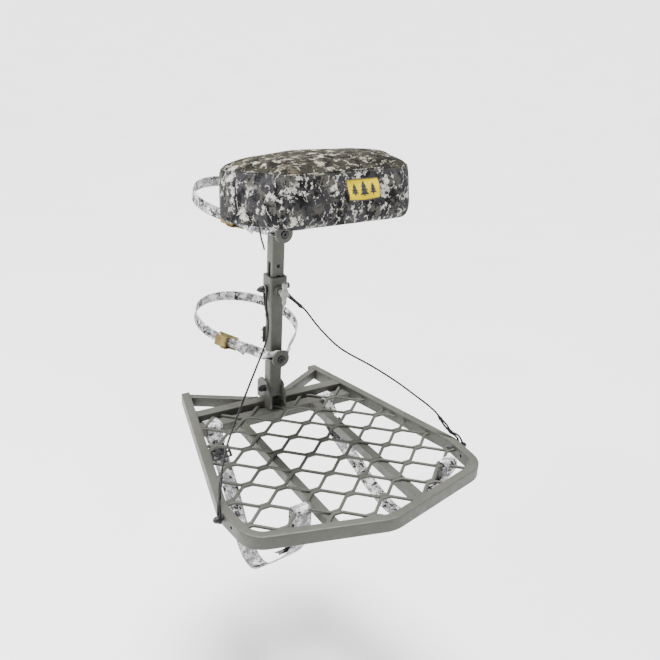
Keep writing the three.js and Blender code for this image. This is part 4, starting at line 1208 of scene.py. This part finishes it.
DRAW_CORD = [(-98, -214, 487.5), (-94, -216, 476), (-90, -216, 464), (-88, -216, 450), (-85, -216, 436),
             (-81, -216, 424), (-78, -216, 413)]
cord_line = resample([mm(*p) for p in DRAW_CORD], 0.0015)
draw_cord = new_object("cover_draw_cord", *tube(cord_line, 1.9 * MM, 12), TAIL, "seat", "webbing")
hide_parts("draw_cord")

# ------------------------------------------------------------------ carry straps


def carry_strap(name, x, turn, band, tails):
    c, s = math.cos(math.radians(turn)), math.sin(math.radians(turn))
    level = Vector((c, s, 0))

    def at(ahead, z):
        return mm(x + s * ahead, -134 - c * ahead, z)

    piece = webbing(f"{name}_carry_webbing", [at(*p) for p in band], [level] * len(band), 37 * MM, 2.2 * MM,
                    WEBBING, "platform", "webbing")
    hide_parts(f"carry_strap_{name}")
    for k, points in enumerate(tails):
        webbing(f"{name}_carry_tail_{k}", [at(*p) for p in points], [level] * len(points), 34 * MM, 1.8 * MM,
                TAIL, "platform", "webbing")


OVER_BAR = [(30, -56), (19.5, -45), (17.6, -36), (17.4, -18), (13, -13.6), (-9, -13.5), (-13.6, -17), (-14, -36),
            (-8, -42), (6, -48)]
carry_strap(
    "left", -162, 3.2,
    OVER_BAR + [(24, -63), (52, -92), (94, -142), (121, -186), (152, -232), (188, -260), (232, -256), (286, -205),
                (347, -142), (376, -100), (388, -66), (390, -24), (388, -10), (380, -6), (371, -7), (367, -14),
                (366, -50), (364, -92), (354, -120)],
    [[(352, -120), (344, -132), (328, -146), (314, -156)]],
)
carry_strap(
    "right", 136, 12.4,
    OVER_BAR + [(20, -71), (48, -100), (82, -124), (131, -152), (175, -182), (234, -208), (280, -208), (320, -182),
                (350, -140), (364, -104), (370, -62), (371, -24), (372, -10), (380, -6), (392, -6), (398, -12),
                (396, -30), (380, -62), (366, -80)],
    [[(364, -80), (359, -92), (357, -104), (357, -114)], [(38, -74), (52, -88), (58, -112)]],
)

# ------------------------------------------------------------------ clamp knob


def wing_knob():
    """A die-cast wing: a flat dog-bone with a round middle, on a short stem."""
    z0 = 284
    stem = [(0, 0), (6.4, 0), (6.8, 0.6), (6.8, 12), (7.6, 13), (8.4, 13.8), (0, 14.2)]
    turn = axes(Vector((1, 0, 0)), Vector((0, 0, 1)), Vector((0, -1, 0)), mm(0, -146.4, z0))
    parts = [placed(lathe([(r * MM, z * MM) for r, z in stem], 40), turn)]
    path, sections = [], []
    for k in range(55):
        z = -27 + k
        wide = 9.4 + 10.4 * math.exp(-((z / 8.0) ** 2) ** 1.3) + 3.6 * math.exp(-((z - 20) / 6.5) ** 2)
        wide += 1.0 * math.exp(-((z + 20) / 6) ** 2)
        tip = math.sqrt(max(0.0, 1 - max(0.0, (abs(z) - 21) / 6.1) ** 2))
        thick = 4.6 + 1.6 * math.exp(-(z / 8) ** 2) + 0.9 * math.exp(-((abs(z) - 20) / 6) ** 2)
        thick *= max(tip, 0.2) ** 0.5
        wide *= max(tip, 0.1)
        path.append(mm(0, -163.2, z0 + z))
        sections.append([(a * MM, b * MM) for a, b in rounded_box(wide, thick, min(wide, thick) * 0.42, 4)])
    parts.append(swept(path, sections, [Vector((1, 0, 0))] * len(path)))
    obj = new_object("clamp_knob", *joined(parts), ZINC, "wing_knob", "zinc")
    obj.data.set_sharp_from_angle(angle=math.radians(50))
    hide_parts("wing_knob")


wing_knob()

# ------------------------------------------------------------------ floor, light


def floor_material():
    n = Nodes("floor")
    base = n.mix(n.step(n.noise(2, 3), 0.3, 0.7), (0.87, 0.87, 0.87), (0.9, 0.9, 0.9))
    n.set(Base_Color=base, Roughness=0.9)
    n.bsdf.inputs["Specular IOR Level"].default_value = 0.1
    return n.mat


FLOOR_Z, FLOOR_HALF = -0.62, 90
data = bpy.data.meshes.new("floor")
corners = [(x * FLOOR_HALF, y * FLOOR_HALF, FLOOR_Z) for x, y in ((-1, -1), (1, -1), (1, 1), (-1, 1))]
data.from_pydata(corners, [], [(0, 1, 2, 3)])
data.materials.append(floor_material())
floor = bpy.data.objects.new("floor", data)
bpy.context.scene.collection.objects.link(floor)


def softbox(name, at, size, power):
    light = bpy.data.lights.new(name, "AREA")
    light.shape = "RECTANGLE"
    light.size, light.size_y = size
    light.energy = power
    obj = bpy.data.objects.new(name, light)
    obj.location = at
    obj.rotation_euler = (Vector((0, -0.2, 0.15)) - Vector(at)).to_track_quat("-Z", "Y").to_euler()
    bpy.context.scene.collection.objects.link(obj)


softbox("key", (-2.2, 0.3, 1.7), (1.2, 1.4), 95)
softbox("front", (-1.2, -2.6, 1.5), (2.0, 1.6), 5)

overhead = bpy.data.lights.new("overhead", "SUN")
overhead.energy = 10
overhead.angle = math.radians(28)
obj = bpy.data.objects.new("overhead", overhead)
obj.rotation_euler = (math.radians(-4), math.radians(3), 0)
bpy.context.scene.collection.objects.link(obj)

world = bpy.data.worlds.new("studio")
world.use_nodes = True
world.node_tree.nodes["Background"].inputs["Color"].default_value = (1, 1, 1, 1)
world.node_tree.nodes["Background"].inputs["Strength"].default_value = 0.36
bpy.context.scene.world = world
